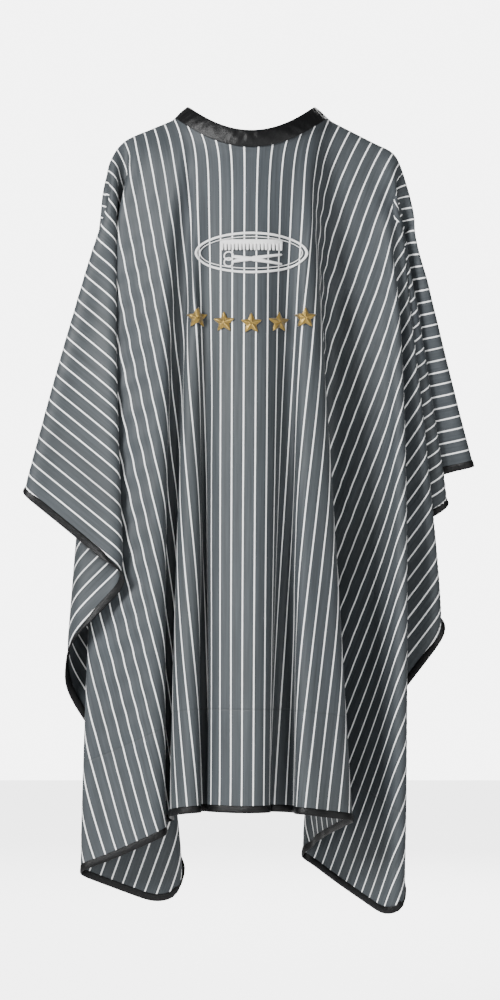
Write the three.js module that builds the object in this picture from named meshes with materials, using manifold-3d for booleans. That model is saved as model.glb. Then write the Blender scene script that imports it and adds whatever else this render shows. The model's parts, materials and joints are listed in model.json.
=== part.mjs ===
// A hairdresser's cape, hanging as it does on its wearer's shoulders or on a hanger.
// Millimetres, +Z up, +X to the cape's right-hand side as seen from the front, front faces -Y.
// The origin is the centre of the neck opening, level with the middle of the neckband.
import * as THREE from 'three';
import { ParametricGeometry } from 'three/addons/geometries/ParametricGeometry.js';
import { mergeVertices } from 'three/addons/utils/BufferGeometryUtils.js';
import Module from 'manifold-3d';

const wasm = await Module();
wasm.setup();

// ---------------------------------------------------------------- driving dimensions
const GAP = 0.3;                 // clearance kept between neighbouring solids
const CLOTH = 2.0;               // wall of the cloth solids
const BINDING_WIDTH = 10;        // bias binding over every edge
const BINDING_WALL = 3.0;
const BINDING_GAP = 2.5;         // between the cloth and its binding, along the fall

// The flat cut: a rectangle with a neck hole and a slit down the back.
const FLAT_WIDTH = 1380;
const FRONT_LENGTH = 1045;       // neck hole centre to front hem
const BACK_LENGTH = 479;         // neck hole centre to back hem
const CORNER_ROUND = 40;
const HOLE_HALF_WIDTH = 94;
const HOLE_HALF_DEPTH = 60;
const SLIT_GAP = 8;

// The shoulders that carry it. x and z of each ridge's outer end, and its flat distance from the middle.
const SHOULDERS = {
  left: { side: -1, x: 193, z: -17, flat: 188 },
  right: { side: 1, x: 216, z: -35, flat: 205 },
};
const SLEEVE_REACH = 336;        // half width over the side hems
const NECK_SPREAD = 150;         // where the line from the neck's side falls, measured from the middle
const MIN_ROUND = 3;             // least round where the cloth leaves the neck seam
const TIP_ROUND = 20;            // how far the cloth runs out over a shoulder tip before it falls
const CHEST_DEPTH = 68;          // how far the front stands ahead of the neck's centre
const BACK_DEPTH = 66;
const FRONT_FLARE = 0.10;        // outward drift for each unit of fall
const BACK_FLARE = 0.14;

// Neckband. Its lower edge is the seam with the cloth, its upper edge is narrower.
const SEAM_HALF_WIDTH = 114;
const SEAM_HALF_DEPTH = 62;
const BAND_HALF_WIDTH = 94;
const BAND_HALF_DEPTH = 57;
const SEAM_SIDE_Z = 16.5;
const SEAM_DIP = 48;             // the seam is this much lower at the front and back than at the sides
const BAND_HEIGHT = 22;
const BAND_LAYER = 0.8;          // each of outer, interfacing and lining
const BAND_GAP = 0.6;            // between the band's layers
const STRAP_HALF = 34;           // half length of the straight closure at the nape

// Press snaps.
const STRAP_WALL = 1.6;
const STUD_COUNT = 4;
const CAP_COUNT = 2;
const SNAP_PITCH = 13;
const CAP_RADIUS = 5.5;
const CAP_HEIGHT = 1.4;
const SOCKET_RADIUS = 4.6;
const SOCKET_BORE = 2.6;
const SOCKET_HEIGHT = 2.0;
const STUD_RADIUS = 1.9;
const STUD_FLANGE = 4.4;
const STUD_FLANGE_WALL = 0.7;
const STUD_HEIGHT = 2.2;

// Embroidery on the chest.
const PATCH_WALL = 1.2;
const PATCH_GAP = 1.0;            // between the cloth and a patch, more than its facets bulge
const STAR_RADIUS = 16;
const STAR_INNER = 0.45;         // inner radius as a share of the outer one
const STAR_COUNT = 5;
const STAR_PITCH = 40;
const STAR_Z = -290;
const STAR_ARC_DROP = 9;         // the middle star sits lower than the outer two
const EMBLEM_Z = -192;
const EMBLEM_HALF_WIDTH = 84;
const EMBLEM_HALF_HEIGHT = 31;
const EMBLEM_LINE = 4;

// ---------------------------------------------------------------- materials
const material = (color, roughness, metalness = 0) =>
  new THREE.MeshStandardMaterial({ color, roughness, metalness });
const CLOTH_GREY = 0x6c7578;
const SATIN_BLACK = 0x17181b;
const cape = new THREE.Group();

function add(name, geometry, finish, parent = cape) {
  const mesh = new THREE.Mesh(geometry, finish);
  mesh.name = name;
  parent.add(mesh);
  return mesh;
}

// ---------------------------------------------------------------- thin closed solids
const lerp = (a, b, t) => a + (b - a) * t;

// A sheet of even wall under the surface point(a, b), a and b from 0 to 1. The wall goes to the side
// that outward(a, b) points away from. The loop runs down the outer skin and back up the inner one,
// and the first and last columns fold onto the middle of the wall, which closes the two ends.
function sheetSolid(point, outward, wall, columns, rows) {
  const outer = new THREE.Vector3();
  const around = rows * 2 + 2;
  const geometry = new ParametricGeometry((u, v, target) => {
    const column = Math.round(u * (columns + 2));
    const a = THREE.MathUtils.clamp((column - 1) / columns, 0, 1);
    const step = Math.round(v * around) % around;
    const inside = step > rows;
    const b = (inside ? 2 * rows + 1 - step : step) / rows;
    outer.copy(point(a, b));
    const closed = column === 0 || column === columns + 2;
    const depth = closed ? wall / 2 : inside ? wall : 0;
    target.copy(outer).addScaledVector(outward(a, b), -depth);
  }, columns + 2, around);
  geometry.deleteAttribute('normal');
  geometry.deleteAttribute('uv');
  return faceOutwards(dropSlivers(mergeVertices(geometry, 1e-3)));
}

function dropSlivers(geometry) {
  const kept = [];
  const index = geometry.index.array;
  for (let i = 0; i < index.length; i += 3) {
    const [a, b, c] = index.slice(i, i + 3);
    if (a !== b && b !== c && c !== a) kept.push(a, b, c);
  }
  geometry.setIndex(kept);
  return geometry;
}

function faceOutwards(geometry) {
  const p = geometry.attributes.position;
  const index = geometry.index.array;
  const [a, b, c] = [new THREE.Vector3(), new THREE.Vector3(), new THREE.Vector3()];
  let volume = 0;
  for (let i = 0; i < index.length; i += 3) {
    a.fromBufferAttribute(p, index[i]);
    b.fromBufferAttribute(p, index[i + 1]);
    c.fromBufferAttribute(p, index[i + 2]);
    volume += a.dot(b.cross(c));
  }
  if (volume < 0) geometry.setIndex(Array.from(index).reverse());
  return geometry;
}

// A closed geometry as a solid for joining, and back again.
function solid(geometry) {
  geometry.deleteAttribute('normal');
  geometry.deleteAttribute('uv');
  const merged = mergeVertices(geometry, 1e-4);
  return new wasm.Manifold(new wasm.Mesh({
    numProp: 3,
    vertProperties: new Float32Array(merged.attributes.position.array),
    triVerts: new Uint32Array(merged.index.array),
  }));
}
function flat(joined) {
  const mesh = joined.getMesh();
  const geometry = new THREE.BufferGeometry();
  geometry.setAttribute('position', new THREE.BufferAttribute(new Float32Array(mesh.vertProperties), 3));
  geometry.setIndex(Array.from(mesh.triVerts));
  return geometry;
}

// ---------------------------------------------------------------- how the cloth hangs
const seamPoint = (angle, height = 0) => {
  // angle 0 is the front, a quarter turn is the side. height 0 is the seam, 1 the band's upper edge.
  const lift = height * BAND_HEIGHT;
  const cut = Math.cos(angle) ** 2;
  return new THREE.Vector3(
    lerp(SEAM_HALF_WIDTH, BAND_HALF_WIDTH, height) * Math.sin(angle),
    -lerp(SEAM_HALF_DEPTH, BAND_HALF_DEPTH, height) * Math.cos(angle),
    SEAM_SIDE_Z - SEAM_DIP * cut + lift * (0.6 + 0.4 * cut),
  );
};

// One fall line: it leaves its root level with the ridge, runs out over a round, and falls.
// travel is the level way it goes while it turns, and drift what it gains for each unit of fall.
const turnOf = (line, distance) => line.round * (1 - Math.exp(-distance / line.round));
function along(line, distance) {
  const turned = turnOf(line, distance);
  return new THREE.Vector3(
    line.root.x + line.travel.x / line.round * turned + line.drift.x * distance,
    line.root.y + line.travel.y / line.round * turned + line.drift.y * distance,
    line.root.z - (distance - turned),
  );
}
// The way the wall faces: up where the line starts, and the line's own facing once it falls.
function facingOf(line, distance) {
  const level = Math.exp(-distance / line.round);
  return new THREE.Vector3(line.face.x * (1 - level), line.face.y * (1 - level), level).normalize();
}

// Depth of the cloth wall ahead of (or behind) the shoulder line, at a distance x from the middle.
const wallDepth = (x, reach, depth) => lerp(depth, TIP_ROUND, Math.min(1, Math.abs(x) / reach) ** 4);

// Flat distance from a shoulder tip to the cut's edge. angle 0 points to the front hem, pi to the back.
function reachFromTip(shoulder, angle) {
  const halfWidth = FLAT_WIDTH / 2 - shoulder.flat;
  const length = angle < Math.PI / 2 ? FRONT_LENGTH : BACK_LENGTH;
  const sx = Math.sin(angle);
  const sy = Math.abs(Math.cos(angle));
  const straight = Math.min(sx > 1e-9 ? halfWidth / sx : Infinity, sy > 1e-9 ? length / sy : Infinity);
  const cx = halfWidth - CORNER_ROUND;
  const cy = length - CORNER_ROUND;
  if (straight * sx < cx || straight * sy < cy) return straight;
  const along = cx * sx + cy * sy;
  return along + Math.sqrt(Math.max(0, CORNER_ROUND ** 2 - (cx * cx + cy * cy - along * along)));
}
const frontCorner = (s) => Math.atan2(FLAT_WIDTH / 2 - s.flat, FRONT_LENGTH);
const backCorner = (s) => Math.PI - Math.atan2(FLAT_WIDTH / 2 - s.flat, BACK_LENGTH);

// Fall line below the neck seam or a shoulder ridge. place runs from 0, the middle, over 1, where the
// ridge leaves the neck, to 2, the shoulder tip. facing is -1 for the front and +1 for the back.
function bodyLine(shoulder, facing, place) {
  const front = facing < 0;
  const depth = front ? CHEST_DEPTH : BACK_DEPTH;
  const length = front ? FRONT_LENGTH : BACK_LENGTH;
  const root = new THREE.Vector3();
  let flatRoot = 0;
  if (place <= 1) {
    root.copy(seamPoint(place * Math.PI / 2));
    root.y *= -facing;
    flatRoot = HOLE_HALF_DEPTH * Math.cos(place * Math.PI / 2);
  } else {
    const neck = seamPoint(Math.PI / 2);
    root.set(lerp(neck.x, shoulder.x, place - 1), 0, lerp(neck.z, shoulder.z, place - 1));
  }
  const spread = place <= 1 ? NECK_SPREAD * place : lerp(NECK_SPREAD, shoulder.x, place - 1);
  const out = wallDepth(spread, shoulder.x, depth) - Math.abs(root.y);
  const travel = new THREE.Vector3(shoulder.side * (spread - root.x), facing * Math.max(MIN_ROUND, out), 0);
  root.x *= shoulder.side;
  root.y += facing * GAP / 2;
  return {
    root, travel,
    round: travel.length(),
    length: length - flatRoot,
    face: new THREE.Vector3(0, facing, 0),
    drift: new THREE.Vector3(0, facing * (front ? FRONT_FLARE : BACK_FLARE), 0),
  };
}

// Fall line below a shoulder tip. angle 0 faces the front, a quarter turn the side, pi the back.
function tipLine(shoulder, angle, shift = 0) {
  const facing = angle < Math.PI / 2 ? -1 : 1;
  const face = new THREE.Vector3(shoulder.side * Math.sin(angle), -Math.cos(angle), 0);
  const sideFlare = (SLEEVE_REACH - shoulder.x - TIP_ROUND) / (FLAT_WIDTH / 2 - shoulder.flat);
  const turn = Math.sin(angle) ** 2;
  const depthFlare = facing < 0 ? FRONT_FLARE : BACK_FLARE;
  return {
    root: new THREE.Vector3(
      shoulder.side * (shoulder.x + shift), -Math.cos(angle) * GAP / 2, shoulder.z),
    travel: face.clone().multiplyScalar(TIP_ROUND),
    round: TIP_ROUND,
    length: reachFromTip(shoulder, angle),
    face,
    drift: new THREE.Vector3(shoulder.side * sideFlare * turn, face.y * depthFlare, 0),
  };
}

// A stretch of cloth over a family of fall lines, and the binding along its lower edge.
function clothAndBinding(clothName, bindingName, lineAt, columns, rows) {
  const end = (a) => lineAt(a).length - BINDING_WIDTH;
  const at = (a, b) => end(a) * b ** 1.8;
  add(clothName, sheetSolid(
    (a, b) => along(lineAt(a), at(a, b)),
    (a, b) => facingOf(lineAt(a), at(a, b)),
    CLOTH, columns, rows,
  ), material(CLOTH_GREY, 0.62));
  const lip = (BINDING_WALL - CLOTH) / 2;
  const bindingAt = (a, b) => end(a) + BINDING_GAP + b * (BINDING_WIDTH - BINDING_GAP);
  add(bindingName, sheetSolid(
    (a, b) => along(lineAt(a), bindingAt(a, b)).addScaledVector(facingOf(lineAt(a), bindingAt(a, b)), lip),
    (a, b) => facingOf(lineAt(a), bindingAt(a, b)),
    BINDING_WALL, columns, 1,
  ), material(SATIN_BLACK, 0.45));
}

// Families of fall lines. Each side's wing takes its ridge, then the tip's turn up to the corner.
function frontPanelLine(a) {
  const side = a < 0.5 ? SHOULDERS.left : SHOULDERS.right;
  const line = bodyLine(side, -1, Math.abs(2 * a - 1));
  line.root.x -= side.side * GAP * Math.abs(2 * a - 1);
  return line;
}
const RIDGE_SHARE = 0.6;         // share of a wing's columns on the ridge, the rest turn round the tip
function wingLine(shoulder, facing, a) {
  if (a < RIDGE_SHARE) {
    return bodyLine(shoulder, facing, 1 + a / RIDGE_SHARE);
  }
  const turn = (a - RIDGE_SHARE) / (1 - RIDGE_SHARE);
  return facing < 0
    ? tipLine(shoulder, frontCorner(shoulder) * turn)
    : tipLine(shoulder, Math.PI - (Math.PI - backCorner(shoulder)) * turn);
}
const SLEEVE_SHIFT = 0.6;
const sleeveLine = (shoulder, a) =>
  tipLine(shoulder, lerp(frontCorner(shoulder), backCorner(shoulder), a), SLEEVE_SHIFT);

// A back flap starts at the slit's binding, follows the neck seam, and goes on as the wing does.
const SEAM_SHARE = 0.4;
const slitPlace = (width) => Math.asin(width / SEAM_HALF_WIDTH) / (Math.PI / 2);
function backLine(shoulder, a) {
  if (a >= SEAM_SHARE) return wingLine(shoulder, 1, (a - SEAM_SHARE) / (1 - SEAM_SHARE));
  const first = slitPlace(SLIT_GAP / 2 + BINDING_WIDTH + GAP);
  return bodyLine(shoulder, 1, lerp(first, 1, a / SEAM_SHARE));
}
const slitLine = (shoulder, a) => bodyLine(
  shoulder, 1, slitPlace(lerp(SLIT_GAP / 2, SLIT_GAP / 2 + BINDING_WIDTH, a)));

// ---------------------------------------------------------------- cloth and bindings
clothAndBinding('front_panel', 'front_hem_binding', frontPanelLine, 20, 12);
for (const [label, shoulder] of Object.entries(SHOULDERS)) {
  clothAndBinding(`front_wing_${label}`, `wing_hem_binding_${label}`, (a) => wingLine(shoulder, -1, a), 10, 12);
  clothAndBinding(`sleeve_fall_${label}`, `side_hem_binding_${label}`, (a) => sleeveLine(shoulder, a), 12, 10);
  clothAndBinding(`back_flap_${label}`, `back_hem_binding_${label}`, (a) => backLine(shoulder, a), 20, 9);
  const slitEdge = (a) => slitLine(shoulder, a);
  const slitAt = (a, b) => slitEdge(a).length * b ** 1.8;
  add(`slit_binding_${label}`, sheetSolid(
    (a, b) => along(slitEdge(a), slitAt(a, b)),
    (a, b) => facingOf(slitEdge(a), slitAt(a, b)),
    CLOTH, 1, 9,
  ), material(SATIN_BLACK, 0.45));
}

// ---------------------------------------------------------------- neckband
// The band runs from one side of the nape round the front to the other side, in three layers.
const strapAngle = (height) =>
  Math.PI - Math.asin(STRAP_HALF / lerp(SEAM_HALF_WIDTH, BAND_HALF_WIDTH, height));
function bandLayer(name, depth, finish) {
  const bandPoint = (a, b) => {
    const point = seamPoint(lerp(-strapAngle(b), strapAngle(b), a), b);
    point.z += GAP + CLOTH;
    return point;
  };
  const outward = (a, b) => {
    const angle = lerp(-strapAngle(b), strapAngle(b), a);
    const n = new THREE.Vector3(Math.sin(angle) / SEAM_HALF_WIDTH, -Math.cos(angle) / SEAM_HALF_DEPTH, 0);
    return n.normalize();
  };
  add(name, sheetSolid(
    (a, b) => bandPoint(a, b).addScaledVector(outward(a, b), -depth),
    outward, BAND_LAYER, 44, 2,
  ), finish);
}
bandLayer('neckband_outer', 0, material(SATIN_BLACK, 0.38));
bandLayer('neckband_interfacing', BAND_LAYER + BAND_GAP, material(0xd8d8d4, 0.9));
bandLayer('neckband_lining', 2 * (BAND_LAYER + BAND_GAP), material(0x1c1d20, 0.7));

// ---------------------------------------------------------------- nape closure
// A flat frame at the nape: x runs along the band, y out of it, z up it.
const napeLow = seamPoint(strapAngle(0), 0);
const napeHigh = seamPoint(strapAngle(1), 1);
const closure = new THREE.Group();
closure.position.set(0, (napeLow.y + napeHigh.y) / 2, (napeLow.z + napeHigh.z) / 2 + GAP + CLOTH);
closure.rotation.x = Math.atan2(napeLow.y - napeHigh.y, napeHigh.z - napeLow.z);
cape.add(closure);

function strapOutline(from, to, height, roundEnd) {
  const h = height / 2;
  const shape = new THREE.Shape();
  const inward = Math.sign(to - from);
  shape.moveTo(from, -h);
  shape.lineTo(to - inward * roundEnd, -h);
  shape.quadraticCurveTo(to, -h, to, -h + roundEnd);
  shape.lineTo(to, h - roundEnd);
  shape.quadraticCurveTo(to, h, to - inward * roundEnd, h);
  shape.lineTo(from, h);
  shape.closePath();
  return shape;
}
// Extrudes an outline drawn in the frame's x and z by a wall towards +y.
function standing(shape, wall, curveSegments = 4) {
  const geometry = new THREE.ExtrudeGeometry(shape, { depth: wall, bevelEnabled: false, curveSegments });
  geometry.rotateX(Math.PI / 2);
  geometry.translate(0, wall, 0);
  return geometry;
}
const STRAP_HEIGHT = BAND_HEIGHT - 3;
const strapEnd = STRAP_HALF - 1;
const lapEnd = STRAP_HALF - 8;
const bandSkin = 0;                                  // outer face of the band in the closure's frame
const studFace = bandSkin + STUD_FLANGE_WALL;
const tabInner = studFace + GAP + SOCKET_HEIGHT + GAP;
const underlap = standing(strapOutline(strapEnd, -lapEnd, STRAP_HEIGHT, 4), STRAP_WALL);
add('neckband_underlap', underlap, material(SATIN_BLACK, 0.4), closure).position.y = bandSkin - STRAP_WALL - GAP;

// The sewn root carries the tab clear of the studs. The tab starts at the hinge line.
const HINGE_X = -STRAP_HALF + 1;
const TAB_ROOT = 14;
const root = standing(strapOutline(HINGE_X - GAP, HINGE_X - TAB_ROOT, STRAP_HEIGHT, 3), STRAP_WALL);
add('tab_root', root, material(SATIN_BLACK, 0.4), closure).position.y = tabInner;
const tab = standing(strapOutline(HINGE_X + GAP, lapEnd - 4, STRAP_HEIGHT, 6), STRAP_WALL, 8);
add('closure_tab', tab, material(SATIN_BLACK, 0.4), closure).position.y = tabInner;

// ---------------------------------------------------------------- press snaps
const SNAP_SIDES = 14;
function turned(profile) {
  const points = profile.map(([r, y]) => new THREE.Vector2(r, y));
  return new THREE.LatheGeometry(points, SNAP_SIDES);
}
const cap = [[0, 0], [CAP_RADIUS, 0], [CAP_RADIUS, CAP_HEIGHT * 0.45], [CAP_RADIUS * 0.7, CAP_HEIGHT * 0.9],
  [0, CAP_HEIGHT]];
const socket = [[SOCKET_BORE, 0], [SOCKET_RADIUS, 0], [SOCKET_RADIUS, SOCKET_HEIGHT],
  [SOCKET_BORE, SOCKET_HEIGHT], [SOCKET_BORE, 0]];
const stud = [[0, 0], [STUD_FLANGE, 0], [STUD_FLANGE, STUD_FLANGE_WALL], [STUD_RADIUS * 0.8, STUD_FLANGE_WALL],
  [STUD_RADIUS, STUD_HEIGHT * 0.7], [STUD_RADIUS * 0.75, STUD_HEIGHT], [0, STUD_HEIGHT]];
const back = [[0, 0], [STUD_FLANGE, 0], [STUD_FLANGE * 0.9, 0.9], [0, 0.9]];
const steel = () => material(0xb9bcc0, 0.3, 1);

// The first two studs sit under the tab's two snaps, the next two are the looser setting's.
const firstStud = HINGE_X + 12;
for (let i = 0; i < STUD_COUNT; i += 1) {
  const x = firstStud + i * SNAP_PITCH;
  add(`snap_stud_${i + 1}`, turned(stud), steel(), closure).position.set(x, bandSkin, 0);
  const rear = add(`snap_back_${i + 1}`, turned(back), steel(), closure);
  rear.position.set(x, bandSkin - STRAP_WALL - 2 * GAP, 0);
  rear.rotation.x = Math.PI;
}
for (let i = 0; i < CAP_COUNT; i += 1) {
  const x = firstStud + i * 2 * SNAP_PITCH;
  add(`snap_socket_${i + 1}`, turned(socket), steel(), closure).position.set(x, studFace + GAP, 0);
  add(`snap_cap_${i + 1}`, turned(cap), steel(), closure).position.set(x, tabInner + STRAP_WALL + GAP, 0);
}

// ---------------------------------------------------------------- embroidery
// The point of the front panel's outer skin at x and z.
function frontSurface(x, z) {
  let place = Math.abs(x) / NECK_SPREAD;
  let distance = -z;
  let point = new THREE.Vector3();
  for (let i = 0; i < 20; i += 1) {
    point = along(bodyLine(x < 0 ? SHOULDERS.left : SHOULDERS.right, -1, place), distance);
    place = Math.max(0, place + (Math.abs(x) - Math.abs(point.x)) / NECK_SPREAD);
    distance += point.z - z;
  }
  return point;
}
const patchOf = (shape) =>
  new THREE.ExtrudeGeometry(shape, { depth: PATCH_WALL, bevelEnabled: false, curveSegments: 6 });
// A flat patch drawn about its own middle, laid over the cloth of the front panel at x and z.
function layOnFront(name, geometry, x, z, finish) {
  const places = geometry.attributes.position;
  for (let i = 0; i < places.count; i += 1) {
    const under = frontSurface(x + places.getX(i), z + places.getY(i));
    under.y -= PATCH_GAP + places.getZ(i);
    places.setXYZ(i, under.x, under.y, under.z);
  }
  add(name, geometry, finish);
}

function starShape(radius, inner) {
  const shape = new THREE.Shape();
  for (let i = 0; i < 10; i += 1) {
    const r = i % 2 ? radius * inner : radius;
    const angle = Math.PI / 2 + i * Math.PI / 5;
    const [x, y] = [r * Math.cos(angle), r * Math.sin(angle)];
    if (i) shape.lineTo(x, y);
    else shape.moveTo(x, y);
  }
  shape.closePath();
  return shape;
}
for (let i = 0; i < STAR_COUNT; i += 1) {
  const offset = i - (STAR_COUNT - 1) / 2;
  const middleShare = 1 - (offset / ((STAR_COUNT - 1) / 2)) ** 2;
  layOnFront(`star_patch_${i + 1}`, patchOf(starShape(STAR_RADIUS, STAR_INNER)), offset * STAR_PITCH,
    STAR_Z - STAR_ARC_DROP * middleShare, material(0xc9a24a, 0.55));
}

// The emblem: an oval line with a comb over an open pair of scissors inside it.
function ovalShape(halfWidth, halfHeight) {
  const shape = new THREE.Shape();
  shape.absellipse(0, 0, halfWidth, halfHeight, 0, Math.PI * 2, false, 0);
  return shape;
}
const oval = ovalShape(EMBLEM_HALF_WIDTH, EMBLEM_HALF_HEIGHT);
oval.holes.push(ovalShape(EMBLEM_HALF_WIDTH - EMBLEM_LINE, EMBLEM_HALF_HEIGHT - EMBLEM_LINE));

const COMB_LENGTH = 90;
const COMB_TOP = 19;
const COMB_SPINE = 6;
const COMB_TOOTH = 9;
const COMB_TEETH = 15;
function combShape() {
  const shape = new THREE.Shape();
  const pitch = COMB_LENGTH / (COMB_TEETH * 2 - 1);
  const [x0, y0] = [-COMB_LENGTH / 2, COMB_TOP];
  shape.moveTo(x0, y0);
  for (let i = 0; i < COMB_TEETH * 2 - 1; i += 1) {
    const depth = i % 2 ? COMB_SPINE : COMB_SPINE + COMB_TOOTH;
    shape.lineTo(x0 + i * pitch, y0 - depth);
    shape.lineTo(x0 + (i + 1) * pitch, y0 - depth);
  }
  shape.lineTo(x0 + COMB_LENGTH, y0);
  shape.closePath();
  return shape;
}
// Scissors lying open: two blades crossed at the pivot, each running back to a round bow.
const BLADE = 48;
const SHANK = 26;
const BOW = 7;
const BOW_LINE = 2.4;
const OPENING = 0.15;
function scissorHalf(mirror) {
  const blade = new THREE.Shape();
  blade.moveTo(BLADE, 0);
  blade.lineTo(0, mirror * 3.4);
  blade.lineTo(-SHANK, mirror * 2);
  blade.lineTo(-SHANK, -mirror * 1.2);
  blade.lineTo(0, -mirror * 2);
  blade.closePath();
  const bow = ovalShape(BOW, BOW);
  bow.holes.push(ovalShape(BOW - BOW_LINE, BOW - BOW_LINE));
  const ring = patchOf(bow);
  ring.translate(-SHANK - BOW + 1, 0, 0);
  return [patchOf(blade), ring].map((piece) => solid(piece.rotateZ(mirror * OPENING)));
}
function scissorsPatch() {
  const [first, ...rest] = [...scissorHalf(1), ...scissorHalf(-1)];
  return flat(rest.reduce((sum, piece) => sum.add(piece), first)).translate(-4, -9.5, 0);
}
const thread = () => material(0xf1efe8, 0.6);
layOnFront('emblem_outline', patchOf(oval), 0, EMBLEM_Z, thread());
layOnFront('emblem_comb', patchOf(combShape()), 0, EMBLEM_Z, thread());
layOnFront('emblem_scissors', scissorsPatch(), 0, EMBLEM_Z, thread());

export default cape;
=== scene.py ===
"""A striped hairdressing cape, hung open from its neckband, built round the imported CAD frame."""
import json

import bmesh
import bpy
import numpy as np
from bpy.props import FloatProperty, FloatVectorProperty, IntProperty, PointerProperty
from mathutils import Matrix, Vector


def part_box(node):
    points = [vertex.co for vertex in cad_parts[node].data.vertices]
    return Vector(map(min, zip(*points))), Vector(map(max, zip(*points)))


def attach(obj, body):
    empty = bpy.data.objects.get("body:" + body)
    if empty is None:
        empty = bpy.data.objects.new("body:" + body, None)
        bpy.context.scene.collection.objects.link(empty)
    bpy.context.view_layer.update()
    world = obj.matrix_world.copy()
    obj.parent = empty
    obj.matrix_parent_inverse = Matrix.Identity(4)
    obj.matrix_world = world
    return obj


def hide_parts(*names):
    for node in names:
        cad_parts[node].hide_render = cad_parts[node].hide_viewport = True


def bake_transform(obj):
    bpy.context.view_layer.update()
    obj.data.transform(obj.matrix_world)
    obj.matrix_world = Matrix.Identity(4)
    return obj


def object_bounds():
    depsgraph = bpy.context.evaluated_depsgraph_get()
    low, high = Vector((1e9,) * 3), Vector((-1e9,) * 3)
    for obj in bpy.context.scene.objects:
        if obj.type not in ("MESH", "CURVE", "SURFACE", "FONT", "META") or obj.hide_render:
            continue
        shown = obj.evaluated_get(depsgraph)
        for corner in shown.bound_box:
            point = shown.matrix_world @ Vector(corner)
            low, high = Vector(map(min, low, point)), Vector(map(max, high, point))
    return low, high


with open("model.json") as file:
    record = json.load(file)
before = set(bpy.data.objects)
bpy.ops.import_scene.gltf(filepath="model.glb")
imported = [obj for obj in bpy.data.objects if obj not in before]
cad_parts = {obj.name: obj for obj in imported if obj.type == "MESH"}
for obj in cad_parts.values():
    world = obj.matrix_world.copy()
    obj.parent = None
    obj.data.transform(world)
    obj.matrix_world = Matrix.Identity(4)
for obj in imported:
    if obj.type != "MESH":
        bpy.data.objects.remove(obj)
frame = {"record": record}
cad_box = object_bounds()

bl_info = {
    "name": "Barber cape",
    "version": (1, 0, 0),
    "blender": (4, 5, 0),
    "location": "3D View > Sidebar > Barber cape",
    "description": "Builds a striped barber cape, its neckband, snaps, bindings and embroidery",
    "category": "Object",
}

FIXED, MOVING = "cape", "closure_tab"
HINGE = next(j for j in frame["record"]["behaviour"]["joints"] if j["name"] == "nape_tab")
MM = 0.001

# The flat cut and the points that carry it, in metres.
HALF_WIDTH = 0.690
FRONT_LENGTH = 1.045
BACK_LENGTH = 0.479
CORNER_ROUND = 0.060
HOLE = np.array([0.094, 0.060])
SEAM = np.array([0.114, 0.062])
SEAM_SIDE_Z = 0.0165
SEAM_DIP = 0.048
TIP_ROUND = 0.020
CHEST_DEPTH = 0.068
BACK_DEPTH = 0.066
FRONT_FLARE = 0.10
HALF_TURN = np.pi

# Each side: the shoulder tip's x, z and flat distance from the middle. lean is the angle, in radians of
# the flat cloth, by which the front's fall lines turn outward between the neck and the shoulder. hem is
# the folded line of the front hem from the middle to the tip's own fall line, in metres. tip_folds go on
# from there round to the back, as outward and backward slopes in degrees of the fall lines below the tip.
SIDES = {
    "left": {
        "side": -1, "x": 0.193, "z": -0.017, "flat": 0.188, "lean": 0.271,
        "hem": [(0.005, -0.180), (0.012, -0.176), (0.040, -0.166), (0.064, -0.150), (0.070, -0.100),
                (0.077, -0.160), (0.090, -0.1595), (0.120, -0.138), (0.126, -0.060), (0.131, -0.129),
                (0.225, -0.099)],
        "tip_folds": [(1.75, -5.4), (3.6, -4.9), (-5.0, -1.5), (4.9, -2.0), (5.0, -6.6), (-1.9, -8.4),
                      (14.3, -6.5), (2.0, 0.4), (12.6, 1.6), (1.0, 3.2), (9.0, 4.2), (-3.0, 5.4),
                      (-12.5, 6.4), (-3.0, 7.4), (-9.0, 8.4), (0.0, 9.4), (-7.0, 10.2), (1.0, 10.6),
                      (-2.0, 10.9), (2.4, 11.0)],
    },
    "right": {
        "side": 1, "x": 0.216, "z": -0.035, "flat": 0.205, "lean": 0.330,
        "hem": [(-0.005, -0.172), (0.022, -0.170), (0.028, -0.104), (0.058, -0.100), (0.070, -0.160),
                (0.089, -0.156), (0.150, -0.130), (0.079, 0.046), (0.144, -0.012)],
        "tip_folds": [(-3.9, -0.7), (0.4, -4.5), (-4.2, 1.8), (5.2, 0.8), (-5.0, 3.4), (8.0, 3.6),
                      (-2.0, 5.0), (13.4, 4.8), (2.0, 6.4), (5.0, 6.8), (-6.0, 7.4), (3.0, 8.2),
                      (-7.0, 9.0), (2.0, 9.6), (-6.0, 10.2), (3.5, 10.8), (-4.0, 11.0), (2.8, 11.4)],
    },
}
NECK_COLUMNS = 8
RIDGE_COLUMNS = 8
FALL_COLUMNS = 40
FRONT_ROWS = 70
BACK_ROWS = 33
LEAN_FROM, LEAN_TO = 0.045, 0.085

# Widths over which the corners of the folded lines are rounded, the distance over which a tip's folds
# open, and how far below a tip its table of lines reaches.
HEM_ROUNDING = 0.020
TIP_ROUNDING = np.radians(2.2)
TIP_OPENING = 0.022
TIP_REACH = 1.20

LOOSE_STIFFNESS = 0.15
SETTLE_STEP = 1.6
SETTLE_WEIGHT = 0.00004
SETTLE_RETURN = 0.004

# Thickness of the cloth, and half width of its packing crease.
CLOTH_WALL = 0.0005
CREASE_WIDTH = 0.0022


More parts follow.
